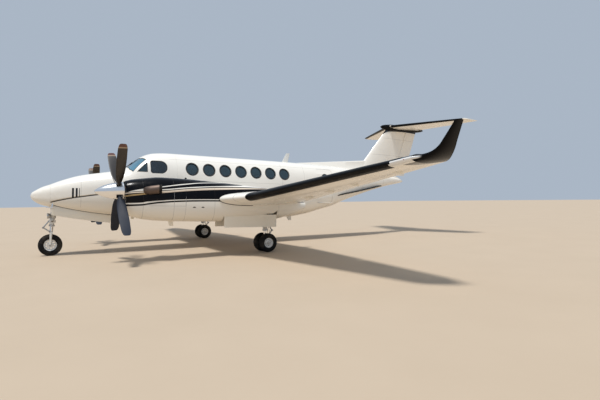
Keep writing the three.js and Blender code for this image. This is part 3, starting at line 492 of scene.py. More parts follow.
class Wire:  # one value in a material, whose operators add Math nodes
    def __init__(self, paint, socket):
        self.paint = paint
        self.socket = socket

    def __add__(self, other):
        return self.paint.maths("ADD", self, other)

    def __radd__(self, other):
        return self.paint.maths("ADD", other, self)

    def __sub__(self, other):
        return self.paint.maths("SUBTRACT", self, other)

    def __rsub__(self, other):
        return self.paint.maths("SUBTRACT", other, self)

    def __mul__(self, other):
        return self.paint.maths("MULTIPLY", self, other)

    def __rmul__(self, other):
        return self.paint.maths("MULTIPLY", other, self)

    def __truediv__(self, other):
        return self.paint.maths("DIVIDE", self, other)

    def __abs__(self):
        return self.paint.maths("ABSOLUTE", self)

    def __gt__(self, other):
        return self.paint.maths("GREATER_THAN", self, other)


class Paint:  # a material and the maker of its nodes
    def __init__(self, name, **constants):
        self.material = bpy.data.materials.new(name)
        self.material.use_nodes = True
        self.tree = self.material.node_tree
        self.tree.nodes.clear()
        self.shader = self.tree.nodes.new("ShaderNodeBsdfPrincipled")
        output = self.tree.nodes.new("ShaderNodeOutputMaterial")
        self.tree.links.new(self.shader.outputs[0], output.inputs[0])
        for label, value in constants.items():
            self.shader.inputs[label.replace("_", " ")].default_value = value

    def node(self, kind, settings=None, inputs=None, output=0):
        made = self.tree.nodes.new(kind)
        for key, value in (settings or {}).items():
            if key == "points":
                self.setCurve(made.mapping, value)
            else:
                setattr(made, key, value)
        for key, value in (inputs or {}).items():
            if isinstance(value, Wire):
                self.tree.links.new(value.socket, made.inputs[key])
            else:
                made.inputs[key].default_value = value
        return Wire(self, made.outputs[output])

    def setCurve(self, mapping, points):
        curve = mapping.curves[0]
        while len(curve.points) < len(points):
            curve.points.new(0.5, 0.5)
        for spot, place in zip(curve.points, points):
            spot.location = place
        mapping.update()

    def maths(self, operation, *values):
        return self.node("ShaderNodeMath", {"operation": operation}, dict(enumerate(values)))

    def objectPlace(self):
        place = self.node("ShaderNodeTexCoord", output=3)
        return place, [self.node("ShaderNodeSeparateXYZ", None, {0: place}, k) for k in range(3)]

    def levelPlace(self):  # x, station and waterline of the point that is shaded
        place, (x, y, z) = self.objectPlace()
        ahead, up = cos(stance["pitch"]), sin(stance["pitch"])
        fromGear = y - shift
        return place, x, fromGear * ahead - z * up + stance["gearStation"], fromGear * up + z * ahead

    def rise(self, value, start, end):  # smoothly from 0 to 1 between two values
        return self.node("ShaderNodeMapRange", {"interpolation_type": "SMOOTHSTEP"},
                         {"Value": value, "From Min": start, "From Max": end})

    def band(self, value, low, high, blur=0.002):
        return self.rise(value, low - blur, low + blur) * (1 - self.rise(value, high - blur, high + blur))

    def line(self, value, at, width):
        return 1 - self.rise(abs(value - at), width * 0.5, width * 0.8)

    def follow(self, station, points):
        # the height of a smooth line through points of (station, height)
        low = min(height for _, height in points) - 0.05
        high = max(height for _, height in points) + 0.05
        start, end = points[0][0], points[-1][0]
        share = (station - start) / (end - start)
        shape = [((s - start) / (end - start), (height - low) / (high - low)) for s, height in points]
        return self.node("ShaderNodeFloatCurve", {"points": shape}, {"Value": share}) * (high - low) + low

    def over(self, station, waterline, points, blur):  # 1 above a line through points
        return self.rise(waterline - self.follow(station, points), -blur, blur)

    def stripe(self, station, waterline, rows, blur):
        # 1 between two lines through rows of (station, foot, crest)
        foot, crest = ([(row[0], row[k]) for row in rows] for k in (1, 2))
        return self.over(station, waterline, foot, blur) * (1 - self.over(station, waterline, crest, blur))

    def noise(self, place, scale, detail=3.0, roughness=0.5, stretch=None):
        if stretch:
            place = self.node("ShaderNodeVectorMath", {"operation": "MULTIPLY"}, {0: place, 1: stretch})
        return self.node("ShaderNodeTexNoise", None,
                         {"Vector": place, "Scale": scale, "Detail": detail, "Roughness": roughness})

    def mix(self, factor, first, second):
        return self.node("ShaderNodeMix", {"data_type": "RGBA"}, {0: factor, 6: first, 7: second}, 2)

    def use(self, label, value):
        if isinstance(value, Wire):
            self.tree.links.new(value.socket, self.shader.inputs[label])
        else:
            self.shader.inputs[label].default_value = value

    def bump(self, height, distance, strength=1.0):
        self.use("Normal", self.node("ShaderNodeBump", None, {
            "Strength": strength, "Distance": distance, "Height": height}))


def rgb(red, green, blue):  # a colour as the eye sees it, from 0 to 255
    return tuple((value / 255) ** 2.2 for value in (red, green, blue)) + (1.0,)


cream = rgb(243, 239, 230)
# the cream darkened, as painted shade for the undersides
creamPaintedShade = rgb(234, 225, 208)
navy = rgb(8, 10, 17)
black = rgb(8, 8, 11)
gold = rgb(166, 140, 100)
jointInk = rgb(70, 64, 56)
roadDust = rgb(168, 150, 122)


def gloss(paint, place, base, grime, coat=0.4):
    # weathered gloss paint: slow changes of tone, faint dust and orange peel
    wide = paint.noise(place, 0.9, 4.0, 0.6)
    fine = paint.noise(place, 14.0, 5.0, 0.62)
    soiled = paint.rise(wide * 0.6 + fine * 0.4, 0.5, 0.72) * grime
    colour = paint.mix(soiled, base, roadDust)
    paint.use("Base Color", colour)
    paint.use("Roughness", 0.2 + fine * 0.09 + soiled * 0.5)
    paint.use("Coat Weight", coat - soiled * 0.5)
    return fine, colour


def panelLines(paint, places, marks, width=0.0045):
    # joints across one of two coordinates, each between two limits of the other
    total = None
    for axis, at, low, high in marks:
        other = next(name for name in places if name != axis)
        mark = paint.line(places[axis], at, width) * paint.band(places[other], low, high)
        total = mark if total is None else paint.maths("MAXIMUM", total, mark)
    return total


def inked(paint, joints, fine, colour, share, ink=jointInk):  # joints drawn and sunk into gloss paint
    shown = paint.mix(joints * share, colour, ink)
    paint.use("Base Color", shown)
    paint.bump(fine * 0.12 - joints, 0.002, 0.35)
    return shown


livery = {
    "belly": (1.55, 0.95), "finCapFrom": 4.0, "finCapInk": rgb(22, 23, 27),
    "finCap": [(11.4, 3.92), (11.843, 4.15), (12.038, 4.25), (12.581, 4.3), (13.7, 4.32)],
    "noseLine": [(0.36, 1.235), (0.444, 1.263), (0.572, 1.297), (0.831, 1.358), (1.209, 1.425),
                 (1.441, 1.462), (2.2, 1.57)],
    "noseSpan": (0.4, 1.9), "noseMiddle": 0.12, "darkLine": (-0.02, 0.008), "tanLine": (0.01, 0.026),
    "bars": ((0.872, 0.918), (0.956, 1.002), (1.034, 1.05)), "barSpan": (1.375, 1.622),
    "barInk": rgb(14, 14, 18),
    # station, foot and crest of the band behind the nacelle
    "sideBand": [(1.75, 1.5, 1.56), (2.4, 1.52, 1.8), (3.4, 1.6, 1.925), (4.3, 1.72, 1.92),
                 (4.92, 1.79, 1.882), (5.47, 1.838, 1.842)],
}
# a coordinate and where on it the joint lies, and the limits of the joint along the other one
fuselageMarks = (
    ("station", 1.08, 1.12, 2.1), ("station", 4.62, 0.9, 1.9), ("station", 6.9, 0.9, 2.6),
    ("waterline", 1.93, 3.6, 9.1), ("waterline", 2.52, 3.3, 9.1), ("station", 7.75, 0.9, 2.6),
    ("station", 9.6, 1.2, 2.6), ("station", 10.4, 1.3, 2.6), ("waterline", 1.95, 9.2, 12.4),
    ("station", 11.6, 1.5, 2.6),
)
finMarks = (("waterline", 3.3, 11.2, 13.2), ("waterline", 3.98, 11.8, 13.4))
nacelleMarks = (
    ("station", 2.16, 0.85, 1.8), ("station", 2.83, 0.82, 1.85), ("station", 3.1, 0.82, 1.85),
    ("station", 3.8, 0.82, 1.8), ("waterline", 1.19, 1.95, 3.1), ("station", 5.6, 0.82, 1.7),
)
wingMarks = (
    ("x", 1.35, -3.2, -0.7), ("x", 3.35, -3.3, -0.8), ("x", 4.9, -2.8, -0.9), ("x", 6.6, -2.6, -1.1),
    ("y", -1.75, 3.1, 8.2), ("y", -2.45, 3.5, 8.2),
)
tailMarks = (("x", 1.2, 5.0, 6.7), ("x", 2.1, 5.0, 6.7), ("y", 5.6, 0.15, 2.7))


def makeFuselagePaint():
    paint = Paint("creamFuselage", Coat_Roughness=0.08, Coat_IOR=1.5, Specular_IOR_Level=0.35)
    place, x, station, waterline = paint.levelPlace()
    # painted shade: the cream turns darker towards the belly
    base = paint.mix(paint.rise(waterline, *livery["belly"]) * 0.6, cream, creamPaintedShade)
    # along the nose a dark line with a thin tan one above it, and upright bars across them
    above = waterline - paint.follow(station, livery["noseLine"])
    offMiddle = abs(x) > livery["noseMiddle"]
    onNose = paint.band(station, *livery["noseSpan"], 0.02) * offMiddle
    bars = sum(paint.band(station, *span) for span in livery["bars"])
    bars = bars * paint.band(waterline, *livery["barSpan"]) * offMiddle
    base = paint.mix(paint.band(above, *livery["tanLine"]) * onNose * 0.7, base, gold)
    dark = paint.maths("MINIMUM", paint.band(above, *livery["darkLine"]) * onNose + bars, 1.0)
    base = paint.mix(dark, base, livery["barInk"])
    rows = livery["sideBand"]
    band = paint.stripe(station, waterline, rows, 0.002) * paint.band(station, rows[0][0], rows[-1][0], 0.01)
    base = paint.mix(band, base, navy)
    joints = panelLines(paint, {"station": station, "waterline": waterline}, fuselageMarks)
    inked(paint, joints, *gloss(paint, place, base, 0.16), 0.45)
    return paint.material


def makeFinPaint():
    paint = Paint("creamFinBlackCap", Coat_Roughness=0.08, Coat_IOR=1.5, Specular_IOR_Level=0.35)
    place, _, station, waterline = paint.levelPlace()
    cap = paint.over(station, waterline, livery["finCap"], 0.003) * (waterline > livery["finCapFrom"])
    base = paint.mix(cap, cream, livery["finCapInk"])
    joints = panelLines(paint, {"station": station, "waterline": waterline}, finMarks)
    gloss(paint, place, paint.mix(joints * 0.6, base, jointInk), 0.14)
    return paint.material


nacelleLines = {
    "darkFoot": [(1.8, 1.172), (2.09, 1.188), (2.25, 1.212), (2.56, 1.254), (3.1, 1.291), (3.96, 1.311),
                 (6.6, 1.321)],
    "underside": (1.25, 0.9), "blur": 0.0025, "jointInk": rgb(60, 56, 52),
    "goldFades": (2.4, 2.65), "beige": rgb(208, 190, 170),
}
nacelleStripes = (  # station, foot and crest, from the lowest stripe up
    (cream, [(1.8, 1.216, 1.245), (2.09, 1.226, 1.256), (2.25, 1.248, 1.284), (2.56, 1.29, 1.314),
             (3.1, 1.328, 1.348), (3.96, 1.345, 1.366), (6.6, 1.355, 1.376)]),
    (gold, [(1.8, 1.381, 1.414), (2.01, 1.415, 1.45), (2.6, 1.486, 1.509), (3.28, 1.556, 1.578),
            (4.1, 1.607, 1.628), (5.25, 1.658, 1.664)]),
    (rgb(222, 208, 190), [(1.8, 1.446, 1.468), (2.01, 1.472, 1.498), (2.6, 1.508, 1.533),
                          (3.28, 1.577, 1.604), (4.1, 1.627, 1.654), (5.25, 1.663, 1.672)]),
    (cream, [(1.86, 1.492, 1.496), (2.01, 1.512, 1.528), (2.6, 1.551, 1.571), (3.25, 1.621, 1.642),
             (4.1, 1.678, 1.698), (5.25, 1.69, 1.76)]),
    (cream, [(1.95, 1.524, 1.526), (2.16, 1.551, 1.568), (2.58, 1.617, 1.636), (3.09, 1.694, 1.713),
             (3.62, 1.752, 1.764), (5.25, 1.79, 1.8)]),
)


def makeNacellePaint():
    paint = Paint("creamNacelle", Coat_Roughness=0.1, Coat_IOR=1.5, Specular_IOR_Level=0.14)
    place, _, station, waterline = paint.levelPlace()
    lines = nacelleLines
    # painted shade: the cream turns darker towards the nacelle's underside
    base = paint.mix(paint.rise(waterline, *lines["underside"]) * 0.6, cream, creamPaintedShade)
    base = paint.mix(paint.over(station, waterline, lines["darkFoot"], lines["blur"]), base, navy)
    for colour, rows in nacelleStripes:
        if colour is gold:
            colour = paint.mix(paint.rise(station, *lines["goldFades"]), gold, lines["beige"])
        base = paint.mix(paint.stripe(station, waterline, rows, lines["blur"]), base, colour)
    joints = panelLines(paint, {"station": station, "waterline": waterline}, nacelleMarks)
    inked(paint, joints, *gloss(paint, place, base, 0.04, 0.06), 0.5, lines["jointInk"])
    return paint.material


blackTip = {"from": 8.03, "leading": 4.91, "slope": 0.42, "blur": 0.03}


def makeWingPaint(name, marks, tipped):
    paint = Paint(name, Coat_Roughness=0.08, Coat_IOR=1.5)
    place, (x, y, _) = paint.objectPlace()
    joints = panelLines(paint, {"x": abs(x), "y": y}, marks, 0.005)
    shown = inked(paint, joints, *gloss(paint, place, cream, 0.2), 0.5)
    if tipped:  # the winglet's black runs on under the wing in a wedge
        _, span, station, _ = paint.levelPlace()
        wedge = abs(span) - blackTip["from"] - (station - blackTip["leading"]) * blackTip["slope"]
        paint.use("Base Color", paint.mix(paint.rise(wedge, 0, blackTip["blur"]), shown, black))
    return paint.material


def darker(colour, share):
    return (*(value * share for value in colour[:3]), 1.0)


def makePlainGloss(name, colour, grime=0.15, coat=0.4, specular=0.5):
    paint = Paint(name, Coat_Roughness=0.1, Specular_IOR_Level=specular)
    place, _ = paint.objectPlace()
    gloss(paint, place, colour, grime, coat=coat)
    return paint.material


def makeMetal(name, colour, roughness=0.25, brushed=None, wear=0.2, spots=30.0):
    paint = Paint(name, Metallic=1.0)
    place, _ = paint.objectPlace()
    fine = paint.noise(place, spots, 5.0, 0.65, brushed)
    wide = paint.noise(place, 4.0, 3.0, 0.5)
    worn = paint.rise(fine * 0.5 + wide * 0.5, 0.42, 0.75) * wear
    paint.use("Base Color", paint.mix(worn, colour, darker(colour, 0.55)))
    paint.use("Roughness", roughness + fine * 0.12)
    paint.bump(fine, 0.0006, 0.25)
    return paint.material


def makeRubber(name, colour, roughness=0.75, dust=0.3, specular=0.3):
    paint = Paint(name, Specular_IOR_Level=specular)
    place, _ = paint.objectPlace()
    fine = paint.noise(place, 60.0, 5.0, 0.7)
    wide = paint.noise(place, 5.0, 3.0, 0.6)
    paint.use("Base Color", paint.mix(paint.rise(wide, 0.42, 0.75) * dust, colour, rgb(120, 110, 98)))
    paint.use("Roughness", roughness + (fine - 0.5) * 0.2)
    paint.bump(fine, 0.0008, 0.3)
    return paint.material


def makeGlass(name, colour, alpha, roughness=0.02):
    paint = Paint(name, Roughness=roughness, Alpha=alpha, Coat_Weight=1.0, Coat_Roughness=0.01)
    place, _ = paint.objectPlace()
    # painted reflection: slow patches where the glass is darker
    reflectionPatches = paint.noise(place, 2.2, 2.0, 0.5)
    paint.use("Base Color", paint.mix(paint.rise(reflectionPatches, 0.35, 0.7) * 0.5, colour, darker(colour, 0.5)))
    return paint.material


def makeCloth(name, colour, other, scale=220.0, roughness=0.8):
    paint = Paint(name, Sheen_Weight=0.2)
    place, _ = paint.objectPlace()
    grain = paint.noise(place, scale, 3.0, 0.6)
    wide = paint.noise(place, 5.0, 3.0, 0.6)
    paint.use("Base Color", paint.mix(grain * 0.4 + wide * 0.4, colour, other))
    paint.use("Roughness", roughness + (grain - 0.5) * 0.2)
    paint.bump(grain, 0.0015, 0.5)
    return paint.material


fuselagePaint = makeFuselagePaint()
nacellePaint = makeNacellePaint()
wingPaint = makeWingPaint("creamWing", wingMarks, True)
tailPaint = makeWingPaint("creamTail", tailMarks, False)
brightEdge = makePlainGloss("brightLeadingEdge", rgb(232, 232, 230), grime=0.03)
blackPaint = makePlainGloss("blackPaint", black, grime=0.03, coat=0.04, specular=0.12)
bootRubber = makeRubber("deiceBoot", rgb(8, 9, 13), 0.34, 0.02, 0.12)
sealRubber = makeRubber("windowSeal", rgb(34, 33, 33), 0.6, 0.1)
tyreRubber = makeRubber("tyreRubber", rgb(22, 22, 23), 0.85, 0.22)
spinnerMetal = makeMetal("spinnerPaintedSilver", (0.9, 0.9, 0.91, 1.0), 0.16, None, 0.06)
castAlloy = makeMetal("castAlloy", (0.55, 0.56, 0.57, 1.0), 0.38, None, 0.35)
steel = makeMetal("steelFitting", (0.42, 0.42, 0.43, 1.0), 0.32, None, 0.35)
chrome = makeMetal("strutChrome", (0.85, 0.85, 0.86, 1.0), 0.06, None, 0.05)
exhaustMetal = makeMetal("exhaustBronze", rgb(112, 98, 90), 0.52, (1, 0.15, 1), 0.7, 9.0)
# dark matte for the open ends of the exhaust stacks and for the vents
darkMatte = makeRubber("darkMatteEnds", rgb(22, 19, 17), 0.9, 0.1)
gearEnamel = makePlainGloss("gearEnamel", rgb(228, 227, 222), grime=0.35)
wheelEnamel = makePlainGloss("wheelEnamel", rgb(240, 240, 238), grime=0.12)
# the blades are black; painted reflection tints the front warm brown from the ground and the back slate blue
# from the sky
bladeFrontPaintedReflection = makeRubber("bladeFrontPaintedGroundReflection", rgb(38, 31, 26), 0.36, 0.04, 0.8)
bladeBackPaintedReflection = makeRubber("bladeBackPaintedSkyReflection", rgb(30, 38, 52), 0.6, 0.05)
bladeTip = makePlainGloss("bladeTipRust", rgb(92, 56, 50), grime=0.3)
bladeBand = makePlainGloss("bladeTipBand", rgb(158, 138, 118), grime=0.2)
doorPaint = makePlainGloss("gearDoorCream", rgb(240, 234, 220), grime=0.2)
lampLens = makeMetal("lampReflector", (0.95, 0.95, 0.93, 1.0), 0.05, None, 0.02)
redLens = makePlainGloss("redLens", rgb(150, 20, 16), grime=0.02)
greenLens = makePlainGloss("greenLens", rgb(20, 120, 60), grime=0.02)
finPaint = makeFinPaint()
darkGlass = makeGlass("cabinGlass", rgb(40, 62, 72), 0.8)
sideGlass = makeGlass("cockpitSideGlass", rgb(36, 50, 60), 0.72)
screenGlass = makeGlass("screenGlass", rgb(96, 146, 172), 0.8)
leather = makeCloth("cabinLeather", rgb(196, 176, 142), rgb(172, 150, 118), 90.0, 0.55)
carpet = makeCloth("cabinCarpet", rgb(120, 104, 86), rgb(92, 80, 66), 300.0, 0.95)
trim = makeCloth("cockpitTrim", rgb(52, 54, 58), rgb(38, 40, 44), 160.0, 0.7)
print("materials made")


# Fuselage

fuselage = {
    "sections": [
        (-0.045, 0.014, 1.426, 1.396, 1.411), (-0.02, 0.09, 1.478, 1.332, 1.411),
        (0.06, 0.186, 1.542, 1.25, 1.414),
        (0.2, 0.264, 1.632, 1.176, 1.422), (0.39, 0.338, 1.712, 1.122, 1.434),
        (0.61, 0.402, 1.812, 1.08, 1.46), (1.08, 0.502, 1.976, 1.0, 1.506),
        (1.645, 0.592, 2.086, 0.925, 1.558), (2.0, 0.642, 2.158, 0.892, 1.59),
        (2.23, 0.668, 2.254, 0.878, 1.61), (2.475, 0.69, 2.478, 0.868, 1.64),
        (2.74, 0.715, 2.642, 0.86, 1.67), (2.94, 0.728, 2.7, 0.857, 1.7),
        (3.31, 0.745, 2.731, 0.855, 1.72), (3.5, 0.75, 2.734, 0.855, 1.73),
        (7.3, 0.75, 2.73, 0.855, 1.73), (8.0, 0.74, 2.722, 0.945, 1.77),
        (8.57, 0.704, 2.706, 1.09, 1.82), (9.15, 0.65, 2.688, 1.235, 1.88),
        (9.7, 0.588, 2.665, 1.44, 1.96), (10.21, 0.52, 2.635, 1.608, 2.05),
        (11.2, 0.385, 2.565, 1.897, 2.19), (12.0, 0.27, 2.485, 2.09, 2.275),
        (12.5, 0.175, 2.432, 2.185, 2.3),
        (12.8, 0.075, 2.372, 2.245, 2.305), (12.9, 0.026, 2.335, 2.266, 2.3),
    ],
    "radomeEnd": 0.39, "noseEnd": 2.0, "cockpitEnd": 3.5, "cabinEnd": 9.15, "tipStart": 12.55,
    "coneEnd": 12.9,
    "cockpitWall": 0.045, "cabinWall": 0.06, "tailWall": 0.022, "joint": 0.0003,
}
body = Hull(fuselage["sections"], 2.6, 3.0)
windows = {"first": 3.933, "pitch": 0.5083, "count": 7, "level": 2.26, "radius": 0.18, "edge": 0.0125}
windowCentres = [(windows["first"] + i * windows["pitch"], windows["level"]) for i in range(windows["count"])]
door = {"front": 8.27, "back": 8.95, "sill": 1.335, "head": 2.52, "corner": 0.09, "gap": 0.006,
        "window": (8.62, 2.195), "windowRadius": 0.165}
screen = {"plan": ((0.038, 2.24), (0.25, 2.236), (0.45, 2.256), (0.572, 2.33), (0.47, 2.688),
                   (0.236, 2.568), (0.038, 2.552)),
          "base": 1.96, "middle": (0.28, 2.42)}
quarter = {"outline": ((2.427, 2.116), (2.7, 2.114), (2.705, 2.395), (2.668, 2.38)),
           "middle": (2.63, 2.18)}
sideLight = {"front": 2.776, "back": 3.228, "low": 2.086, "high": 2.455, "corner": 0.172,
             "frontCorner": 0.07, "middle": (2.997, 2.266)}
noseWell = {"front": 0.41, "back": 1.85, "halfWidth": 0.28, "top": 1.59}


def sideLightOutline(shrink):
    size = sideLight
    return roundedBox(size["front"] + shrink, size["back"] - shrink, size["low"] + shrink,
                      size["high"] - shrink, size["corner"] - shrink, size["frontCorner"] - shrink)


def sideOutlineCut(name, outline):
    return [sweptOutline(f"{name}{side}", outline, side * 0.4, side * 0.95) for side in (1, -1)]


def screenCut(side):
    return sweptOutline("screenCut", [(side * x, s) for x, s in screen["plan"]], screen["base"], 2.9, "z")


def dressHull(piece, *nodes, sharpAngle=32):
    dress(piece, fuselagePaint, nodes, sharpAngle)


def buildFuselage():
    size = fuselage
    joint, noseEnd, cockpitEnd = size["joint"], size["noseEnd"], size["cockpitEnd"]
    radome = hullSolid("radome", body, size["sections"][0][0], size["radomeEnd"], 0.02, blunt=True)
    dressHull(radome, "radome", sharpAngle=50)

    nose = hullSolid("noseSection", body, size["radomeEnd"] + joint, noseEnd, 0.035)
    carve(nose, [boxPiece("wellCut", (-noseWell["halfWidth"], noseWell["front"], 0.6),
                          (noseWell["halfWidth"], noseWell["back"], noseWell["top"]))])
    dressHull(nose, "nose_section")

    cockpit = hullTube("cockpitShell", body, noseEnd + joint, cockpitEnd, size["cockpitWall"], 0.03)
    cuts = [screenCut(1), screenCut(-1)] + sideOutlineCut("quarterCut", quarter["outline"])
    cuts += sideOutlineCut("sideCut", sideLightOutline(0))
    carve(cockpit, cuts)
    dressHull(cockpit, "cockpit_shell")

    cabin = hullTube("cabinShell", body, cockpitEnd + joint, size["cabinEnd"], size["cabinWall"], 0.06)
    cuts = []
    for centre in windowCentres:
        cuts += sideOutlineCut("windowCut", circle(centre, windows["radius"]))
    doorway = roundedBox(door["front"], door["back"], door["sill"], door["head"], door["corner"])
    cuts.append(sweptOutline("doorCut", doorway, 0.35, 0.95))
    cuts.append(wingBlank("seatCut", wingCentre["sections"], 0.0005))
    carve(cabin, cuts)
    dressHull(cabin, "cabin_shell")

    cone = hullTube("tailConeShell", body, size["cabinEnd"] + joint, size["tipStart"], size["tailWall"], 0.07)
    tip = hullSolid("tailConeTip", body, size["tipStart"] + joint, size["coneEnd"], 0.03)
    dressHull(cone, "tail_cone")
    dressHull(tip)
    rings = []
    for station, level, reach in smoothTable(tail["strake"], 24):
        skin = body.sideX(station, level)
        rings.append([(skin + out, station, level + up) for out, up in (
            (-0.014, 0.008), (reach, -0.01), (reach + 0.002, 0), (reach, 0.01), (-0.014, 0.032))])
    # the strakes are black: the dark stripe carried on along them, and painted shade of their underside
    dressBothSides(lofted("strake", rings), "strake", blackPaint)


# Wings

aerofoilSteps = 30


def halfShape(stop, thickness):  # half the thickness of a section at a share of its chord
    return 5 * thickness * (0.2969 * sqrt(stop) - 0.126 * stop - 0.3516 * stop**2 + 0.2843 * stop**3
                            - 0.1015 * stop**4)


def sectionSkins(leading, trailing, thickness, camber, stops):
    # the upper and the lower skin of a section at shares of its chord, kept apart behind the nose
    least = [0.0 if stop < 1e-6 else 0.003 * min(1, stop * 40) for stop in stops]
    halves = [max(halfShape(stop, thickness), thin) for stop, thin in zip(stops, least)]
    return [[(leading + stop * (trailing - leading), sign * half * (1 + sign * camber))
             for stop, half in zip(stops, halves)] for sign in (1, -1)]


def aerofoil(leading, trailing, thickness, camber=0.12):
    # points round a section: forwards along the top to the nose and back underneath
    stops = [0.5 * (1 + cos(pi * i / aerofoilSteps)) for i in range(aerofoilSteps + 1)]
    upper, lower = sectionSkins(leading, trailing, thickness, camber, stops)
    return upper + lower[-2::-1]


def sectionBetween(sections, at):  # the values of a straight-tapered surface at any place along it
    for near, far in zip(sections, sections[1:]):
        if at <= far[0] or far is sections[-1]:
            share = (at - near[0]) / (far[0] - near[0])
            return [a + (b - a) * share for a, b in zip(near[1:], far[1:])]


def wingRings(sections, camber=0.12, margin=0.0, pieces=6):
    start, end = sections[0][0], sections[-1][0]
    between = [start + (end - start) * i / pieces for i in range(1, pieces)]
    rings = []
    for x in sorted({*[row[0] for row in sections], *between}):
        leading, trailing, level, thickness = sectionBetween(sections, x)
        ring = aerofoil(leading - margin, trailing + margin, thickness + 3 * margin, camber)
        rings.append([(x, s, level + z) for s, z in ring])
    return rings


# for each section of a wing: x, leading edge, trailing edge, waterline and thickness
wingCentre = {
    "sections": [(0.0, 4.05, 6.4, 1.044, 0.35), (0.7, 4.05, 6.4, 1.121, 0.35),
                 (2.2, 4.02, 6.385, 1.286, 0.35), (3.0, 3.9, 6.372, 1.36, 0.315)],
}
wingOuter = {
    "sections": [(3.0003, 3.9, 6.372, 1.36, 0.315), (3.2, 3.96, 6.36, 1.378, 0.305),
                 (3.6, 4.41, 6.32, 1.428, 0.285), (7.9, 4.87, 5.76, 1.908, 0.146),
                 (8.33, 4.925, 5.7, 1.96, 0.128)],
}
# start and end of each skin round the leading edge, its reach above and below, and how proud it stands
edgeSkins = (
    ("wingBoot", (3.55, 7.9), (0.19, 0.15), 0.004, "black_paint", bootRubber),
    ("bootTongue", (7.87, 8.12), (0.17, 0.012), 0.004, "black_paint", bootRubber),
    ("polishedLeadingEdge", (7.89, 8.329), (0.012, 0.11), 0.006, "polished_spinner", brightEdge),
)
# hinge lines, the gap round a surface, and how far its nose starts and bulges ahead of the hinge
wingSurfaces = {
    "flap_inner": {"from": (0.83, 5.94, 1.092), "to": (2.13, 5.93, 1.236), "gap": 0.024, "ahead": 0.002,
                   "rootNose": 0.01, "tipNose": 0.01},
    "flap_outer": {"from": (3.11, 5.95, 1.34), "to": (5.64, 5.68, 1.63), "gap": 0.024, "ahead": 0.002,
                   "rootNose": 0.01, "tipNose": 0.01},
    "aileron": {"from": (5.73, 5.69, 1.673), "to": (8.19, 5.515, 1.946), "gap": 0.01, "ahead": 0.0,
                "rootNose": 0.054, "tipNose": 0.033},
}
nacelle = {
    "centre": 2.615, "wall": 0.03,
    "sections": [
        (1.83, 0.288, 1.746, 0.99, 1.4), (1.94, 0.322, 1.778, 0.95, 1.385),
        (2.16, 0.362, 1.812, 0.886, 1.36), (2.6, 0.402, 1.859, 0.84, 1.34),
        (3.2, 0.42, 1.845, 0.822, 1.33), (3.81, 0.42, 1.805, 0.815, 1.31),
        (4.62, 0.415, 1.742, 0.822, 1.28), (5.3, 0.362, 1.694, 0.84, 1.23),
        (5.68, 0.304, 1.59, 0.88, 1.21), (6.12, 0.205, 1.462, 1.003, 1.215),
        (6.6, 0.04, 1.32, 1.19, 1.25),
    ],
    # half width and top of the wheel well, and of the wider step at its foot
    "wellFront": 4.06, "wellBack": 5.56, "well": (0.32, 1.4), "wellFoot": (0.335, 1.02),
    "thrustLine": 1.522, "points": 96,
    # station and inset of the rings that roll the cowl in to its round front
    "lip": ((1.83, 0.0), (1.812, 0.012), (1.806, 0.03)), "lipRadius": 0.212, "lipFront": 1.8,
    "intake": (-0.19, 0.19, 1.01, 1.13, 0.055),
}
cowl = Hull(nacelle["sections"], 2.4, 2.6, nacelle["centre"])


def wingBlank(name, sections, margin=0.0, camber=0.12):
    half = wingRings(sections, camber, margin)
    other = [[(-x, s, w) for x, s, w in ring] for ring in reversed(half[1:])]
    return lofted(name, other + half)


def mainWellCut(side, half, top):  # one step of a main wheel well, up through the underside
    middle, front, back = side * nacelle["centre"], nacelle["wellFront"], nacelle["wellBack"]
    return boxPiece("wellCut", (middle - half, front, 0.5), (middle + half, back, top))


def slotCut(spec, mirror=1):  # the room that a control surface takes out of what carries it
    start, end = Vector(spec["from"]), Vector(spec["to"])
    along = (end - start).normalized()
    up = along.cross(Vector((0, 1, 0))).normalized()
    aft = up.cross(along).normalized()
    ahead = spec["ahead"] + max(spec["rootNose"], spec["tipNose"]) + spec["gap"]
    points = []
    for u in (-spec["gap"], (end - start).length + spec["gap"]):
        for v in (-ahead, 1.0):
            for z in (-0.4, 0.4):
                point = start + along * u + aft * v + up * z
                points.append((point.x * mirror, point.y, point.z))
    return outward(rawPiece("slotCut", points, boxFaces))


def hingedPiece(name, sections, spec, camber=0.12, spans=14, count=22, upright=False):
    # a control surface: what lies behind its hinge line, with a round nose ahead of that
    start, end = Vector(spec["from"]), Vector(spec["to"])
    rings = []
    for i in range(spans + 1):
        hinge = start.lerp(end, i / spans)
        if upright:
            leading, trailing, thickness = sectionBetween(sections, hinge.z)
        else:
            leading, trailing, level, thickness = sectionBetween(sections, hinge.x)
        front = (hinge.y - spec["ahead"] - leading) / (trailing - leading)
        stops = [1 + (front - 1) * k / (count - 1) for k in range(count)]
        upper, lower = sectionSkins(leading, trailing, thickness, camber, stops)
        edge, top, bottom = upper[-1][0], upper[-1][1], lower[-1][1]
        radius = (top - bottom) / 2
        reach = min(radius, spec["rootNose"] + (spec["tipNose"] - spec["rootNose"]) * i / spans)
        nose = [(edge - reach * cos(turn), (top + bottom) / 2 + radius * sin(turn))
                for turn in (pi * (0.5 - k / 12) for k in range(1, 12))]
        outline = upper + nose + lower[::-1]
        rings.append([(z, s, hinge.z) if upright else (hinge.x, s, level + z) for s, z in outline])
    return lofted(name, rings)


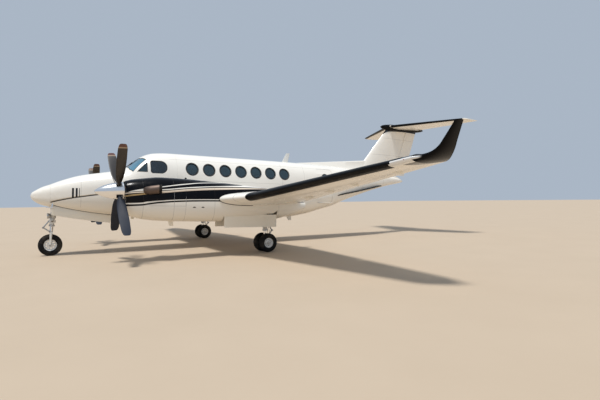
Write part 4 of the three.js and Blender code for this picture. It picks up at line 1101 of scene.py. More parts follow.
def bootPiece(name, sections, ends, reach, lift, camber=0.12, spans=24):
    # a thin skin wrapped round the leading edge, standing a little proud
    rings = []
    for i in range(spans + 1):
        x = ends[0] + (ends[1] - ends[0]) * i / spans
        leading, trailing, level, thickness = sectionBetween(sections, x)
        chord = trailing - leading
        edgeFade = min(1.0, 6.0 * min(i, spans - i) / spans + 0.12)
        path = []
        for k in range(25):
            share = k / 24 * 2 - 1
            stop = reach[0 if share < 0 else 1] / chord * share * share
            half = halfShape(stop, thickness) * ((1 + camber) if share < 0 else -(1 - camber))
            path.append((leading + stop * chord, level + half))
        outer = []
        for k, (s, w) in enumerate(path):
            before, after = path[max(k - 1, 0)], path[min(k + 1, 24)]
            run, climb = after[0] - before[0], after[1] - before[1]
            size = hypot(run, climb) or 1
            fade = min(1.0, 5.0 * min(k, 24 - k) / 24 + 0.1) * edgeFade
            outer.append((x, s + climb / size * lift * fade, w - run / size * lift * fade))
        rings.append([(x, s, w) for s, w in path] + outer[::-1])
    return lofted(name, rings)


def buildWings():
    centre = wingBlank("wingCentre", wingCentre["sections"])
    cuts = []
    for _, side in handed:
        cuts += [slotCut(wingSurfaces["flap_inner"], side), mainWellCut(side, *nacelle["well"])]
    carve(centre, cuts)
    dress(centre, wingPaint, ["wing_centre"])

    outer = lofted("wing", wingRings(wingOuter["sections"]))
    carve(outer, [slotCut(wingSurfaces["flap_outer"]), slotCut(wingSurfaces["aileron"])])
    dressBothSides(outer, "wing", wingPaint, ["wing_{}"])

    for name, spec in wingSurfaces.items():
        sections = wingCentre["sections"] if name == "flap_inner" else wingOuter["sections"]
        piece = hingedPiece(name, sections, spec)
        stem = name.replace("_i", "I").replace("_o", "O")
        dressBothSides(piece, stem, wingPaint, [name + "_{}"], body=name + "_body_{}")

    for stem, ends, reach, lift, slot, material in edgeSkins:
        skin = bootPiece(stem, wingOuter["sections"], ends, reach, lift)
        dressBothSides(skin, stem, material)


winglet = {
    # x, level, leading edge, trailing edge, thickness and lean in degrees
    "rows": [(8.3303, 1.96, 4.925, 5.7, 0.126, 4), (8.45, 1.985, 5.02, 5.632, 0.105, 20),
             (8.56, 2.042, 5.11, 5.562, 0.08, 42), (8.64, 2.122, 5.162, 5.52, 0.062, 60),
             (8.7, 2.24, 5.208, 5.498, 0.048, 70), (8.8124, 2.505, 5.312, 5.482, 0.026, 76)],
    "shineWidth": (0.013, 0.017), "shineTaper": 0.09, "shineEnd": (8.4, 8.46),
}


def buildWinglets():
    rings = []
    for x, level, leading, trailing, thickness, lean in smoothTable(winglet["rows"], 26):
        lean = radians(lean)
        rings.append([(x - height * sin(lean), station, level + height * cos(lean))
                      for station, height in aerofoil(leading, trailing, thickness, 0)])
    rings[0] = [(max(x, winglet["rows"][0][0]), s, w) for x, s, w in rings[0]]
    piece = lofted("winglet", rings)
    dressBothSides(piece, "winglet", makeWingletPaint(), ["winglet_{}"])


def makeWingletPaint():  # black, with the wing's bright leading edge carried on at its root
    paint = Paint("wingletBlack", Coat_Roughness=0.1, Specular_IOR_Level=0.1)
    place, x, station, _ = paint.levelPlace()
    out = abs(x)
    behind = station - paint.follow(out, [(row[0], row[2]) for row in winglet["rows"][:4]])
    narrowed = behind + (out - 8.33) * winglet["shineTaper"]
    shine = (1 - paint.rise(narrowed, *winglet["shineWidth"])) * (1 - paint.rise(out, *winglet["shineEnd"]))
    fine, dark = gloss(paint, place, black, 0.03, 0.04)
    paint.use("Base Color", paint.mix(shine, dark, rgb(226, 226, 224)))
    paint.use("Metallic", shine * 0.5)
    paint.use("Roughness", 0.22 - shine * 0.08)
    paint.bump(fine * 0.12, 0.002, 0.2)
    return paint.material


# Tail

tail = {
    "finSpan": (2.4, 4.4),
    # level, leading edge, trailing edge and thickness of the fin; station, half width and crest of its fillet
    "finSections": [(2.38, 10.32, 12.94, 0.262), (3.026, 10.87, 13.17, 0.226),
                    (4.4, 12.038, 13.656, 0.146)],
    "dorsal": [(7.8, 0.014, 2.738), (8.84, 0.034, 2.836), (10.45, 0.062, 2.984), (11.05, 0.07, 3.04)],
    "planeSections": [(0.0, 12.06, 13.74, 4.478, 0.168), (2.745, 13.176, 13.954, 4.462, 0.076),
                      (2.805, 13.33, 13.93, 4.46, 0.04)],
    "elevator": {"from": (0.19, 13.2, 4.476), "to": (2.7, 13.65, 4.462), "gap": 0.01, "ahead": 0.0,
                 "rootNose": 0.052, "tipNose": 0.026},
    "rudder": {"from": (0, 12.435, 2.52), "to": (0, 13.05, 4.258), "gap": 0.01, "ahead": 0.0,
               "rootNose": 0.054, "tipNose": 0.042},
    # station, half width, crown and keel
    "bullet": [(11.7, 0.006, 4.44, 4.426), (11.78, 0.056, 4.492, 4.374), (11.98, 0.094, 4.542, 4.328),
               (12.32, 0.12, 4.577, 4.312), (13.24, 0.12, 4.59, 4.342), (13.7, 0.09, 4.576, 4.386),
               (14.0, 0.044, 4.54, 4.45), (14.091, 0.008, 4.507, 4.489)],
    # strakes: station, level of the outer edge, reach from the hull there
    "strake": [(9.19, 1.618, 0.008), (9.4, 1.662, 0.045), (10.1, 1.79, 0.115), (10.86, 1.94, 0.132),
               (11.33, 2.028, 0.076), (11.52, 2.052, 0.014)],
}
bulletRows = [(s, half, crown, keel, (crown + keel) / 2) for s, half, crown, keel in tail["bullet"]]
bulletHull = Hull(bulletRows, 2, 2)


def bulletSolid(name, step, count):
    return hullSolid(name, bulletHull, tail["bullet"][0][0], tail["bullet"][-1][0], step, count, blunt=True)


def buildTail():
    rings = []
    for level in np.linspace(*tail["finSpan"], 9):
        leading, trailing, thickness = sectionBetween(tail["finSections"], level)
        rings.append([(z, s, level) for s, z in aerofoil(leading, trailing, thickness, 0)])
    fin = lofted("fin", rings)
    carve(fin, [slotCut(tail["rudder"]), bulletSolid("bulletCut", 0.04, 32)])
    rings = []
    for station, half, crest in smoothTable(tail["dorsal"], 24):
        foot = body.topW(station, 0) - 0.03
        side = [(half * 2.2, foot), (half * 1.1, foot + (crest - foot) * 0.35), (half * 0.75, crest - 0.03),
                (half * 0.4, crest - 0.006)]
        outline = [(-half * 2.2, foot), *side, (0, crest), *[(-x, w) for x, w in side[:0:-1]]]
        rings.append([(x, station, w) for x, w in outline])
    dorsal = lofted("dorsal", rings)
    dress(joinPieces("finWithFillet", [fin, dorsal]), finPaint, ["fin"])
    rudder = hingedPiece("rudder", tail["finSections"], tail["rudder"], 0, 12, 20, upright=True)
    dress(rudder, finPaint, ["rudder"], body="rudder_body")

    plane = wingBlank("tailplane", tail["planeSections"], camber=0.0)
    carve(plane, [slotCut(tail["elevator"], side) for _, side in handed])
    dress(plane, tailPaint, ["tailplane"])
    elevator = hingedPiece("elevator", tail["planeSections"], tail["elevator"], 0.0)
    dressBothSides(elevator, "elevator", tailPaint, ["elevator_{}"], body="elevator_body_{}")
    boot = bootPiece("boot", tail["planeSections"], (0.14, 2.73), (0.1, 0.09), 0.003, 0.0)
    dressBothSides(boot, "tailBoot", bootRubber)
    bullet = bulletSolid("tailBullet", 0.03, 64)
    carve(bullet, [wingBlank("planeCut", tail["planeSections"], 0.0005, 0.0)])
    dress(bullet, blackPaint, ["tail_bullet"])


# Nacelles, engines and propellers

exhaust = {
    "station": 2.24, "level": 1.53, "wall": 0.007, "room": 0.004, "flattened": 0.86,
    # reach from the nacelle's middle, distance aft, rise and radius
    "path": [(0.1, -0.04, 0.0, 0.07), (0.3, -0.02, 0.0, 0.08), (0.385, 0.012, 0.004, 0.09),
             (0.432, 0.07, 0.012, 0.097), (0.468, 0.18, 0.028, 0.099), (0.482, 0.232, 0.036, 0.099),
             (0.49, 0.288, 0.044, 0.103)],
}
engineBlock = {"front": 2.05, "back": 3.7797, "level": 1.48, "radius": 0.235, "gearbox": 0.1}


def stackRings(side, wider, sides):  # rings along a bent exhaust stack, a little wider than in the table
    path = [Vector((nacelle["centre"] + side * reach, exhaust["station"] + aft, exhaust["level"] + rise))
            for reach, aft, rise, _ in exhaust["path"]]
    rings = []
    for i, point in enumerate(path):
        radius = exhaust["path"][i][3] + wider
        ahead = (path[min(i + 1, len(path) - 1)] - path[max(i - 1, 0)]).normalized()
        across = ahead.cross(Vector((0, 0, 1))).normalized() * exhaust["flattened"]
        rings.append([point + across * (radius * cos(turn)) + Vector((0, 0, radius * sin(turn)))
                      for turn in turns(sides)])
    return rings


def buildNacelles():
    size = nacelle
    middle, count, rows = size["centre"], size["points"], size["sections"]
    shell = hullTube("nacelle", cowl, rows[0][0], rows[-1][0], size["wall"], 0.04, count)
    face = [cowl.ring(station, inset, count) for station, inset in size["lip"]]
    lip = [(x, size["lipFront"], w) for x, w in ellipse((middle, size["thrustLine"]), size["lipRadius"],
                                                        size["lipRadius"], count)]
    inner = [(x, s + 0.06, w) for x, s, w in lip]
    nose = lofted("nacelleFront", face + [lip, inner, cowl.ring(1.86, 0.035, count)], looped=True)
    intake = sweptOutline("intakeCut", roundedBox(*size["intake"]), 1.7, 1.95, "z", Matrix())
    upright = Matrix(((1, 0, 0, 0), (0, 0, 1, 0), (0, 1, 0, 0), (0, 0, 0, 1)))
    intake.data.transform(levelFrame @ Matrix.Translation((middle, 0, 0)) @ upright)
    carve(nose, [intake])
    cuts = [mainWellCut(1, *size["wellFoot"]), mainWellCut(1, *size["well"])]
    cuts += [lofted("stackCut", stackRings(side, exhaust["room"], 24)) for side in (1, -1)]
    carve(shell, cuts)
    dressBothSides([shell, nose], "nacelle", nacellePaint, ["nacelle_{}"])


def buildEngines():
    size, shaft = engineBlock, levelFrame @ shaftFrame()
    block = [(nacelle["centre"], station, size["level"]) for station in (size["front"], size["back"])]
    parts = [barPiece("engineBlock", block, size["radius"], 40),
             barPiece("gearbox", [(0, -0.0297, 0), (0, 0.32, 0)], size["gearbox"], 32, shaft)]
    for part in parts:
        part.data.materials.append(exhaustMetal)
    for side in (1, -1):  # each stack is a bent horn, open, and dark matte at its end and inside
        outer = stackRings(side, 0, 40)
        horn = lofted("stack", outer + stackRings(side, -exhaust["wall"], 40)[:1:-1])
        for material in (exhaustMetal, darkMatte):
            horn.data.materials.append(material)
        for face in horn.data.polygons:
            if min(face.vertices) >= 40 * (len(outer) - 2):
                face.material_index = 1
        parts.append(horn)
    dressBothSides(parts, "engine", None, ["engine_{}"])


# the shaft is tilted nose-down about the middle of the spinner's base, and its pieces are drawn along it
propeller = {
    "tilt": 0.056, "bladeSet": -0.1, "hubRadius": 0.11, "hubFront": -0.19, "hubBack": -0.03,
    "blades": 4, "firstBlade": 45.0,
    # radius, chord, thickness, twist from feather in degrees
    "sections": [(0.05, 0.068, 0.068, -28), (0.12, 0.074, 0.07, -28), (0.19, 0.09, 0.062, -28),
                 (0.38, 0.172, 0.038, -20), (0.7, 0.208, 0.024, -10), (1.05, 0.2, 0.014, -3),
                 (1.27, 0.166, 0.008, 2), (1.322, 0.13, 0.006, 3), (1.3335, 0.078, 0.004, 3)],
    "bandStart": 1.222, "tipStart": 1.246,
    "spinnerBase": 1.79, "spinnerLength": 0.6, "spinnerRadius": 0.195,
}


def shaftFrame():
    return (Matrix.Translation((nacelle["centre"], propeller["spinnerBase"], nacelle["thrustLine"]))
            @ Matrix.Rotation(propeller["tilt"], 4, "X"))


def bladePiece():
    rings = []
    for radius, chord, thickness, twist in smoothTable(propeller["sections"], 40):
        twist = radians(twist)
        outline = []
        for turn in turns(28):
            along = -0.5 * cos(turn)
            fullness = sin(turn) * (0.5 * (1 - 0.35 * along - 0.5 * along * along))
            c, t = along * chord, fullness * thickness
            out, ahead = c * sin(twist) + t * cos(twist), c * cos(twist) - t * sin(twist)
            outline.append((out, ahead, radius))
        rings.append(outline)
    piece = lofted("blade", rings, Matrix())
    for material in (bladeFrontPaintedReflection, bladeBackPaintedReflection, bladeBand, bladeTip):
        piece.data.materials.append(material)
    for face in piece.data.polygons:  # the tip is painted on one side of the blade only
        if face.normal.x < 0:
            face.material_index = 1
        elif face.center.z > propeller["bandStart"]:
            face.material_index = 3 if face.center.z > propeller["tipStart"] else 2
    return piece


def bladesTree():
    # copies of a blade set evenly round the shaft
    inputs = (("Blade", "Geometry"), ("Count", "Int"), ("First Angle", "Float"))
    tree, link, new = nodeTree("bladesRoundShaft", inputs, "Blades")
    start, end = new("NodeGroupInput"), new("NodeGroupOutput")
    spots, index, turn = new("GeometryNodePoints"), new("GeometryNodeInputIndex"), new("ShaderNodeMath")
    turn.operation = "DIVIDE"
    whole = new("ShaderNodeMath")
    whole.operation = "MULTIPLY_ADD"
    whole.inputs[1].default_value = 2 * pi
    aim = new("ShaderNodeCombineXYZ")
    copies, solid = new("GeometryNodeInstanceOnPoints"), new("GeometryNodeRealizeInstances")
    for source, target in (
            (index.outputs[0], turn.inputs[0]), (start.outputs["Count"], turn.inputs[1]),
            (turn.outputs[0], whole.inputs[0]), (start.outputs["First Angle"], whole.inputs[2]),
            (whole.outputs[0], aim.inputs["Y"]), (start.outputs["Count"], spots.inputs["Count"]),
            (spots.outputs[0], copies.inputs["Points"]), (start.outputs["Blade"], copies.inputs["Instance"]),
            (aim.outputs[0], copies.inputs["Rotation"]), (copies.outputs[0], solid.inputs[0]),
            (solid.outputs[0], end.inputs[0])):
        link(source, target)
    return tree


def buildPropellers():
    size = propeller
    shaft = levelFrame @ shaftFrame()
    blade = bladePiece()
    step = blade.modifiers.new("blades", "NODES")
    step.node_group = bladesTree()
    setInputs(step, {"Count": size["blades"], "First Angle": radians(size["firstBlade"])})
    bakeModifiers(blade)
    bladePlace = shaft @ Matrix.Translation((0, size["bladeSet"], 0))
    blade.data.transform(bladePlace)
    hub = barPiece("hub", [(0, size["hubFront"], 0), (0, size["hubBack"], 0)], size["hubRadius"], 40, shaft)
    hub.data.materials.append(steel)
    whole = joinPieces("propeller", [blade, hub])
    # both propellers turn the same way, so the second is a copy and not a mirror image
    twin = newObject("propellerStarboard", whole.data.copy())
    twin.data.transform(Matrix.Translation((-2 * nacelle["centre"], 0, 0)))
    whole.name = "propellerPort"
    for piece, (side, _) in zip((whole, twin), handed):
        dress(piece, None, [f"propeller_{side}"], 40, f"propeller_unit_{side}")

    rings = []
    for k in range(1, 29):
        part = k / 28
        radius = size["spinnerRadius"] * sin(part * pi / 2)
        along = -size["spinnerLength"] * (1 - part**1.42)
        rings.append([(x, along, z) for x, z in ellipse((0, 0), radius, radius, 64)])
    spinner = lofted("spinner", rings, shaft)
    cuts = [barPiece("inside", [(0, -0.35, 0), (0, -0.04, 0)], [0.12, 0.184], 48, shaft)]
    for k in range(size["blades"]):
        turn = radians(size["firstBlade"] + 90 * k)
        hole = boxPiece("rootCut", (-0.052, -0.066, 0.06), (0.052, 0.066, 0.32), Matrix())
        hole.data.transform(bladePlace @ Matrix.Rotation(turn, 4, "Y"))
        cuts.append(hole)
    carve(spinner, cuts)
    dressBothSides(spinner, "spinner", spinnerMetal, ["spinner_{}"], 40,
                   "propeller_unit_{}")


# Glass

screws = {"away": 0.018, "radius": 0.0045, "height": 0.0016}
wiper = {  # across, station and inset of the points along each piece, and its radius
    "arm": ([(0.08, 2.19, 0.004), (0.085, 2.215, -0.02), (0.16, 2.33, -0.018), (0.19, 2.42, -0.012)],
            0.006, 10),
    "rubber": ([(0.1, 2.33, -0.006), (0.19, 2.42, -0.006), (0.27, 2.49, -0.006)], 0.005, 8),
    "pivot": ([(0.08, 2.19, 0.02), (0.08, 2.19, -0.014)], 0.014, 16),
}
# inner and outer edge from the window's radius, inset and thickness
windowRings = {"windowSeals": (-0.016, -0.0008, 0.021, 0.016),
               "windowEdges": (0.0004, windows["edge"], 0.001, 0.003)}


def buildGlass():
    panel, plan = quarter["outline"], screen["plan"]
    for side, sign in handed:
        label, onHull, onCrown = side.capitalize(), onSide(body, sign), onTop(body, sign)
        radius = windows["radius"]
        panes = [skinPatch("pane", onHull, centre, circle(centre, radius - 0.0006), 0.022, 0.01)
                 for centre in windowCentres]
        dress(joinPieces(f"cabinWindows{label}", panes), darkGlass, [f"cabin_windows_{side}"])
        for name, (inner, outer, inset, depth) in windowRings.items():
            rings = [roundStrip(onHull, centre, radius + inner, radius + outer, inset, depth)
                     for centre in windowCentres]
            dress(joinPieces(name + label, rings), sealRubber)

        for name, node, spot, size, outline, rings, glass in (
                ("quarterWindow", "quarter_window", onHull, quarter, drawnIn(panel, 0.001, 10), 6, darkGlass),
                ("cockpitWindow", "cockpit_window", onHull, sideLight, sideLightOutline(0.001), 6, sideGlass),
                ("windscreen", "windscreen", onCrown, screen, drawnIn(plan, 0.001, 8), 16, screenGlass)):
            pane = skinPatch(name + label, spot, size["middle"], outline, 0.008, 0.01, rings)
            dress(pane, glass, [f"{node}_{side}"])
        seals = [skinStrip("seal", spot, inner, outer, 0.0075, 0.006) for spot, inner, outer in (
            (onHull, drawnIn(panel, 0.016, 10), drawnIn(panel, 0.001, 10)),
            (onHull, sideLightOutline(0.017), sideLightOutline(0.001)),
            (onCrown, drawnIn(plan, 0.016, 10), drawnIn(plan, 0.001, 10)))]
        dress(joinPieces(f"cockpitSeals{label}", seals), sealRubber)

        heads = [(body.sidePoint(s, w, -0.0006, sign), body.sideNormal(s, w, sign))
                 for s, w in drawnIn(panel, -screws["away"], 7) + sideLightOutline(-screws["away"])[::2]]
        heads += [(onCrown(x, station, -0.0006), Vector((0, -0.6, 0.8)))
                  for x, station in drawnIn(plan, -screws["away"], 6) if x > 0.035]
        dress(studs(f"glassScrews{label}", heads, screws["radius"], screws["height"], steel))
        parts = [barPiece(name, [onCrown(*spot) for spot in path], radius, sides)
                 for name, (path, radius, sides) in wiper.items()]
        dress(joinPieces(f"wiper{label}", parts), sealRubber)


# Landing gear

gear = {
    "noseLeg": {"station": 0.53, "top": 1.5, "rake": 0.093}, "rimHalf": 0.055, "rimHoles": 9,
    "noseWheel": {"station": 0.424, "radius": 0.2795, "width": 0.168, "rim": 0.15},
    "mainWheel": {"radius": 0.2475, "width": 0.168, "offset": 0.165, "rim": 0.128, "station": 5.37},
    "grooves": 4,
}


def tyreProfile(radius, width, rim):
    # a closed section: bead, bulged wall, shoulder and a tread with grooves
    half = width / 2
    wall = []
    for i in range(13):
        turn = pi * (i / 12)
        bulge = sin(turn) * 0.035 * half / 0.084
        across = half * 0.8 + bulge * 0.55 - half * 0.06 * (1 - i / 12)
        wall.append((rim + (radius * 0.93 - rim) * i / 12, across))
    shoulder = [(radius * 0.965, half * 0.7), (radius * 0.985, half * 0.6)]
    tread = []
    for k in range(gear["grooves"]):
        at = half * 0.45 - k * half * 0.3
        tread += [(radius * 0.998, at + 0.0045), (radius * 0.975, at + 0.003), (radius * 0.975, at - 0.003),
                  (radius * 0.998, at - 0.0045)]
        if k < gear["grooves"] - 1:
            tread.append((radius, at - half * 0.15))
    right = wall + shoulder + [(radius * 0.995, half * 0.52)]
    return right + tread + [(r, -a) for r, a in reversed(right)]


def rimProfile(rim, half):
    right = [(0.03, half * 0.55), *[(rim * r, half * a) for r, a in (
        (0.34, 0.62), (0.42, 0.3), (0.82, 0.16), (0.9, 0.55), (0.93, 0.98), (0.985, 1.05), (0.998, 0.95))]]
    return right + [(r, -a) for r, a in reversed(right)]


def finished(piece, material):
    piece.data.materials.clear()
    piece.data.materials.append(material)
    return piece


def bar(path, radii, material, sides=16, place=groundFrame):
    return finished(barPiece("bar", path, radii, sides, place), material)


def piercedRim(centre, size):
    # a rim with oval holes in its web, and a bolt between each two on both faces
    rim = turned("rim", rimProfile(size["rim"], gear["rimHalf"]), centre, 96)
    middle, reach, holes = Vector(centre), size["rim"], gear["rimHoles"]
    cuts, bolts = [], []
    for turn in turns(holes):
        way, side = Vector((0, cos(turn), sin(turn))), Vector((0, -sin(turn), cos(turn)))
        outline = [middle + way * (reach * (0.63 + a)) + side * (reach * b)
                   for a, b in ellipse((0, 0), 0.085, 0.15, 16)]
        rings = [[point + Vector((depth, 0, 0)) for point in outline] for depth in (-0.08, 0.08)]
        cuts.append(lofted("hole", rings, groundFrame))
        way.rotate(Matrix.Rotation(pi / holes, 3, "X"))
        for face in (-1, 1):
            seat = Vector((face * (gear["rimHalf"] * 0.22 + 0.003), 0, 0))
            bolts.append((middle + way * (reach * 0.7) + seat, (face, 0, 0)))
    carve(rim, cuts)
    return [finished(rim, wheelEnamel), studs("bolts", bolts, 0.0075, 0.012, steel, groundFrame)]


def tyreOf(name, centre, size):
    return turned(name, tyreProfile(size["radius"], size["width"], size["rim"]), centre, 96)


def buildWheels():
    size = gear["noseWheel"]
    centre = (0, size["station"], size["radius"])
    dress(tyreOf("noseTyre", centre, size), tyreRubber, ["nose_tyre"], body="nose_wheel")
    rim = joinPieces("noseRim", piercedRim(centre, size))
    dress(rim, None, ["nose_rim"], body="nose_wheel")
    size = gear["mainWheel"]
    middle, station, level = nacelle["centre"], size["station"], size["radius"]
    rims = []
    for name, away in (("Outboard", 1), ("Inboard", -1)):
        centre = (middle + away * size["offset"], station, level)
        dressBothSides(tyreOf("tyre", centre, size), f"mainTyre{name}", tyreRubber,
                       [f"main_tyre_{name.lower()}_{{}}"], body="main_wheels_{}")
        rims += piercedRim(centre, size)
        hub = [(centre[0] + away * out, station, level) for out in (0.028, 0.058, 0.068)]
        rims.append(bar(hub, (0.04, 0.04, 0.026), castAlloy, 32))
    rims.append(bar([(middle - 0.2, station, level), (middle + 0.2, station, level)], 0.026, steel, 32))
    dressBothSides(rims, "mainRims", None, ["main_rims_{}"], body="main_wheels_{}")


def legPoint(height, ahead=0.0, x=0.0):  # a place on the raked nose leg, ahead of its middle
    leg = gear["noseLeg"]
    return (x, leg["station"] - (leg["top"] - height) * leg["rake"] - ahead, height)


noseDetails = {
    # heights along the leg and radii of its sleeves
    "sleeves": (((0.765, 0.8, 0.81), (0.07, 0.07, 0.058)), ((0.955, 0.99), 0.066), ((1.2, 1.23), 0.066)),
    "lampLevel": 1.04, "lampX": 0.115, "lampAhead": (0.03, 0.06, 0.095, 0.125),
    "lampRadii": (0.022, 0.052, 0.066, 0.068), "hoseX": 0.045,
    # height, reach ahead and spread of the hose
    "hose": ((1.38, -0.03, 1), (1.25, -0.062, 1.2), (1.06, -0.066, 1.3), (0.98, -0.07, 1)),
    "piston": (0.64, 0.752), "pistonRadius": 0.0405,
    # height and reach ahead of the pins of the torque links, and how far out the links are there
    "pins": ((0.625, 0.03, 0.03), (0.735, 0.19, 0.016), (0.89, 0.078, 0.03)),
}
mainDetails = {
    "sleeves": ((0.556, 0.6), (0.8, 0.835)), "piston": (0.385, 0.545), "pistonRadius": 0.0405,
    "brake": ((0.034, 0.063), (0.094, 0.063), (0.1, 0.068), (0.1, 0.094), (0.096, 0.098), (0.034, 0.098)),
    "brakePistons": (55, 105, 155), "brakePistonReach": 0.078,
    # across, behind the wheel's middle and level
    "hose": ((0.052, 0.03, 0.3225), (0.05, 0.12, 0.43), (0.045, 0.1, 0.58), (0.048, 0.065, 0.75),
             (0.05, 0.06, 1.02)),
    # station and level of the pins of the torque links, and how far out the links are there
    "pins": ((5.4, 0.33, 0.022), (5.58, 0.56, 0.012), (5.42, 0.8, 0.022)),
}


def buildNoseLegDetails():  # lamps, sleeves and hoses on the leg
    size = noseDetails
    lampLevel = size["lampLevel"]
    parts = [bar([legPoint(height) for height in heights], radii, castAlloy, 32)
             for heights, radii in size["sleeves"]]
    parts.append(bar([legPoint(lampLevel, 0.075, -0.15), legPoint(lampLevel, 0.075, 0.15)], 0.014, steel))
    parts.append(bar([legPoint(lampLevel), legPoint(lampLevel, 0.078)], 0.018, steel))
    for x in (-size["lampX"], size["lampX"]):
        shell = [legPoint(lampLevel, ahead, x) for ahead in size["lampAhead"]]
        parts.append(bar(shell, size["lampRadii"], castAlloy, 32))
        lens = [legPoint(lampLevel, ahead, x) for ahead in (0.1255, 0.131)]
        parts.append(bar(lens, (0.06, 0.052), lampLens, 32))
    for x in (-size["hoseX"], size["hoseX"]):
        hose = [legPoint(height, ahead, x * spread) for height, ahead, spread in size["hose"]]
        parts.append(bar(hose, 0.007, sealRubber, 8))
    dress(joinPieces("noseLegDetails", parts))


def buildNoseForkDetails():  # a bright piston, torque links with their pins, and the steering arms
    size, wheel = noseDetails, gear["noseWheel"]
    parts = [bar([legPoint(height) for height in size["piston"]], size["pistonRadius"], chrome, 32)]
    for height, ahead, _ in size["pins"]:
        parts.append(bar([legPoint(height, ahead, -0.036), legPoint(height, ahead, 0.036)], 0.024, steel, 20))
    for side in (-1, 1):
        link = [legPoint(height, ahead, out * side) for height, ahead, out in size["pins"]]
        parts.append(bar(link, 0.0115, castAlloy, 12))
        arm = [legPoint(0.895, -0.02, 0.08 * side), legPoint(0.895, 0.03, 0.12 * side)]
        parts.append(bar(arm, 0.016, steel, 12))
        nut = [(out * side, wheel["station"], wheel["radius"]) for out in (0.133, 0.142)]
        parts.append(bar(nut, (0.03, 0.022), steel, 6))
    dress(joinPieces("noseForkDetails", parts), body="nose_steering_fork")


def buildMainLegDetails():  # brakes, hoses, torque links with their pins, and a bright piston
    size, middle = mainDetails, nacelle["centre"]
    station, level = gear["mainWheel"]["station"], gear["mainWheel"]["radius"]
    parts = [bar([(middle, station, height) for height in size["piston"]], size["pistonRadius"], chrome, 32)]
    parts += [bar([(middle, station, height) for height in heights], 0.066, castAlloy, 32)
              for heights in size["sleeves"]]
    for side in (1, -1):
        disc = turned("brake", [(r, side * a) for r, a in size["brake"]], (middle, station, level), 48)
        parts.append(finished(disc, steel))
        for angle in size["brakePistons"]:
            turn = radians(angle)
            way = Vector((0, cos(turn), sin(turn))) * size["brakePistonReach"]
            spot = Vector((middle + side * 0.05, station, level)) + way
            parts.append(bar([spot, spot + Vector((side * 0.02, 0, 0))], 0.019, castAlloy, 20))
        hose = [(middle + side * out, station + behind, height) for out, behind, height in size["hose"]]
        parts.append(bar(hose, 0.007, sealRubber, 8))
        parts.append(bar([(middle + side * out, s, w) for s, w, out in size["pins"]], 0.012, castAlloy, 12))
    for s, w, _ in size["pins"]:
        parts.append(bar([(middle - 0.034, s, w), (middle + 0.034, s, w)], 0.023, steel, 20))
    dressBothSides(parts, "mainLegDetails")


# Aerials, lamps, vents and brackets

fittings = {
    # front and back at the foot, front and back at the tip, level of the tip
    "roofAerial": (7.246, 7.48, 7.43, 7.566, 3.049), "aerialHalf": 0.012,
    "bellyAerials": ((7.45, 7.65, 7.54, 7.66, 0.735), (3.62, 3.8, 3.69, 3.8, 0.745)),
    # station, level, half length and half height
    "nacelleVents": ((3.3, 1.166, 0.036, 0.013), (3.507, 1.167, 0.036, 0.013)),
    "hullVent": (3.73, 1.977, 0.03, 0.022),
    # station, lowest and highest head
    "rivetColumns": ((2.83, 1.24, 1.51), (3.1, 1.19, 1.4)), "rivetsInColumn": 12,
    "drainMast": {"front": 2.79, "back": 2.915, "drop": 0.115},
    "pitot": {"x": 0.352, "station": 0.45, "level": 1.2, "drop": 0.09, "reach": 0.15},
    # across and station of the flap and aileron brackets, and the length ahead and depth of their rings
    "brackets": ((1.05, 5.9), (1.95, 5.9), (3.45, 5.86), (4.4, 5.76), (5.4, 5.65), (6.3, 5.6),
                 (7.6, 5.51)),
    "bracketRings": ((0.42, 0.004), (0.3, 0.022), (0.12, 0.04), (0.03, 0.034)),
    "navLight": ((8.2, 4.96, 1.945), (8.2, 4.935, 1.944), (8.2, 4.91, 1.943), (8.2, 4.896, 1.942)),
    # station of the beacon, and where its rings lie from the keel with their radii
    "beacon": (6.9, (0.01, -0.04, -0.07, -0.08), (0.055, 0.05, 0.034, 0.01)),
}


def lensRing(front, back, level, half, x=0.0):
    return [(x + half * sin(turn), front + (back - front) * (0.5 - 0.5 * cos(turn)), level)
            for turn in turns(20)]


def aerialBlade(name, row, below=False):
    front, back, tipFront, tipBack, tip = row
    foot = body.topW(front, 0, below=below) + (0.004 if below else -0.004)
    half = fittings["aerialHalf"]
    return lofted(name, [lensRing(front, back, foot, half), lensRing(tipFront, tipBack, tip, half * 0.5)])


def ventPatch(hull, row):
    centre, (long, tall) = row[:2], row[2:]
    return skinPatch("vent", onSide(hull), centre, ellipse(centre, long, tall, 24), -0.0008, 0.002, 2)


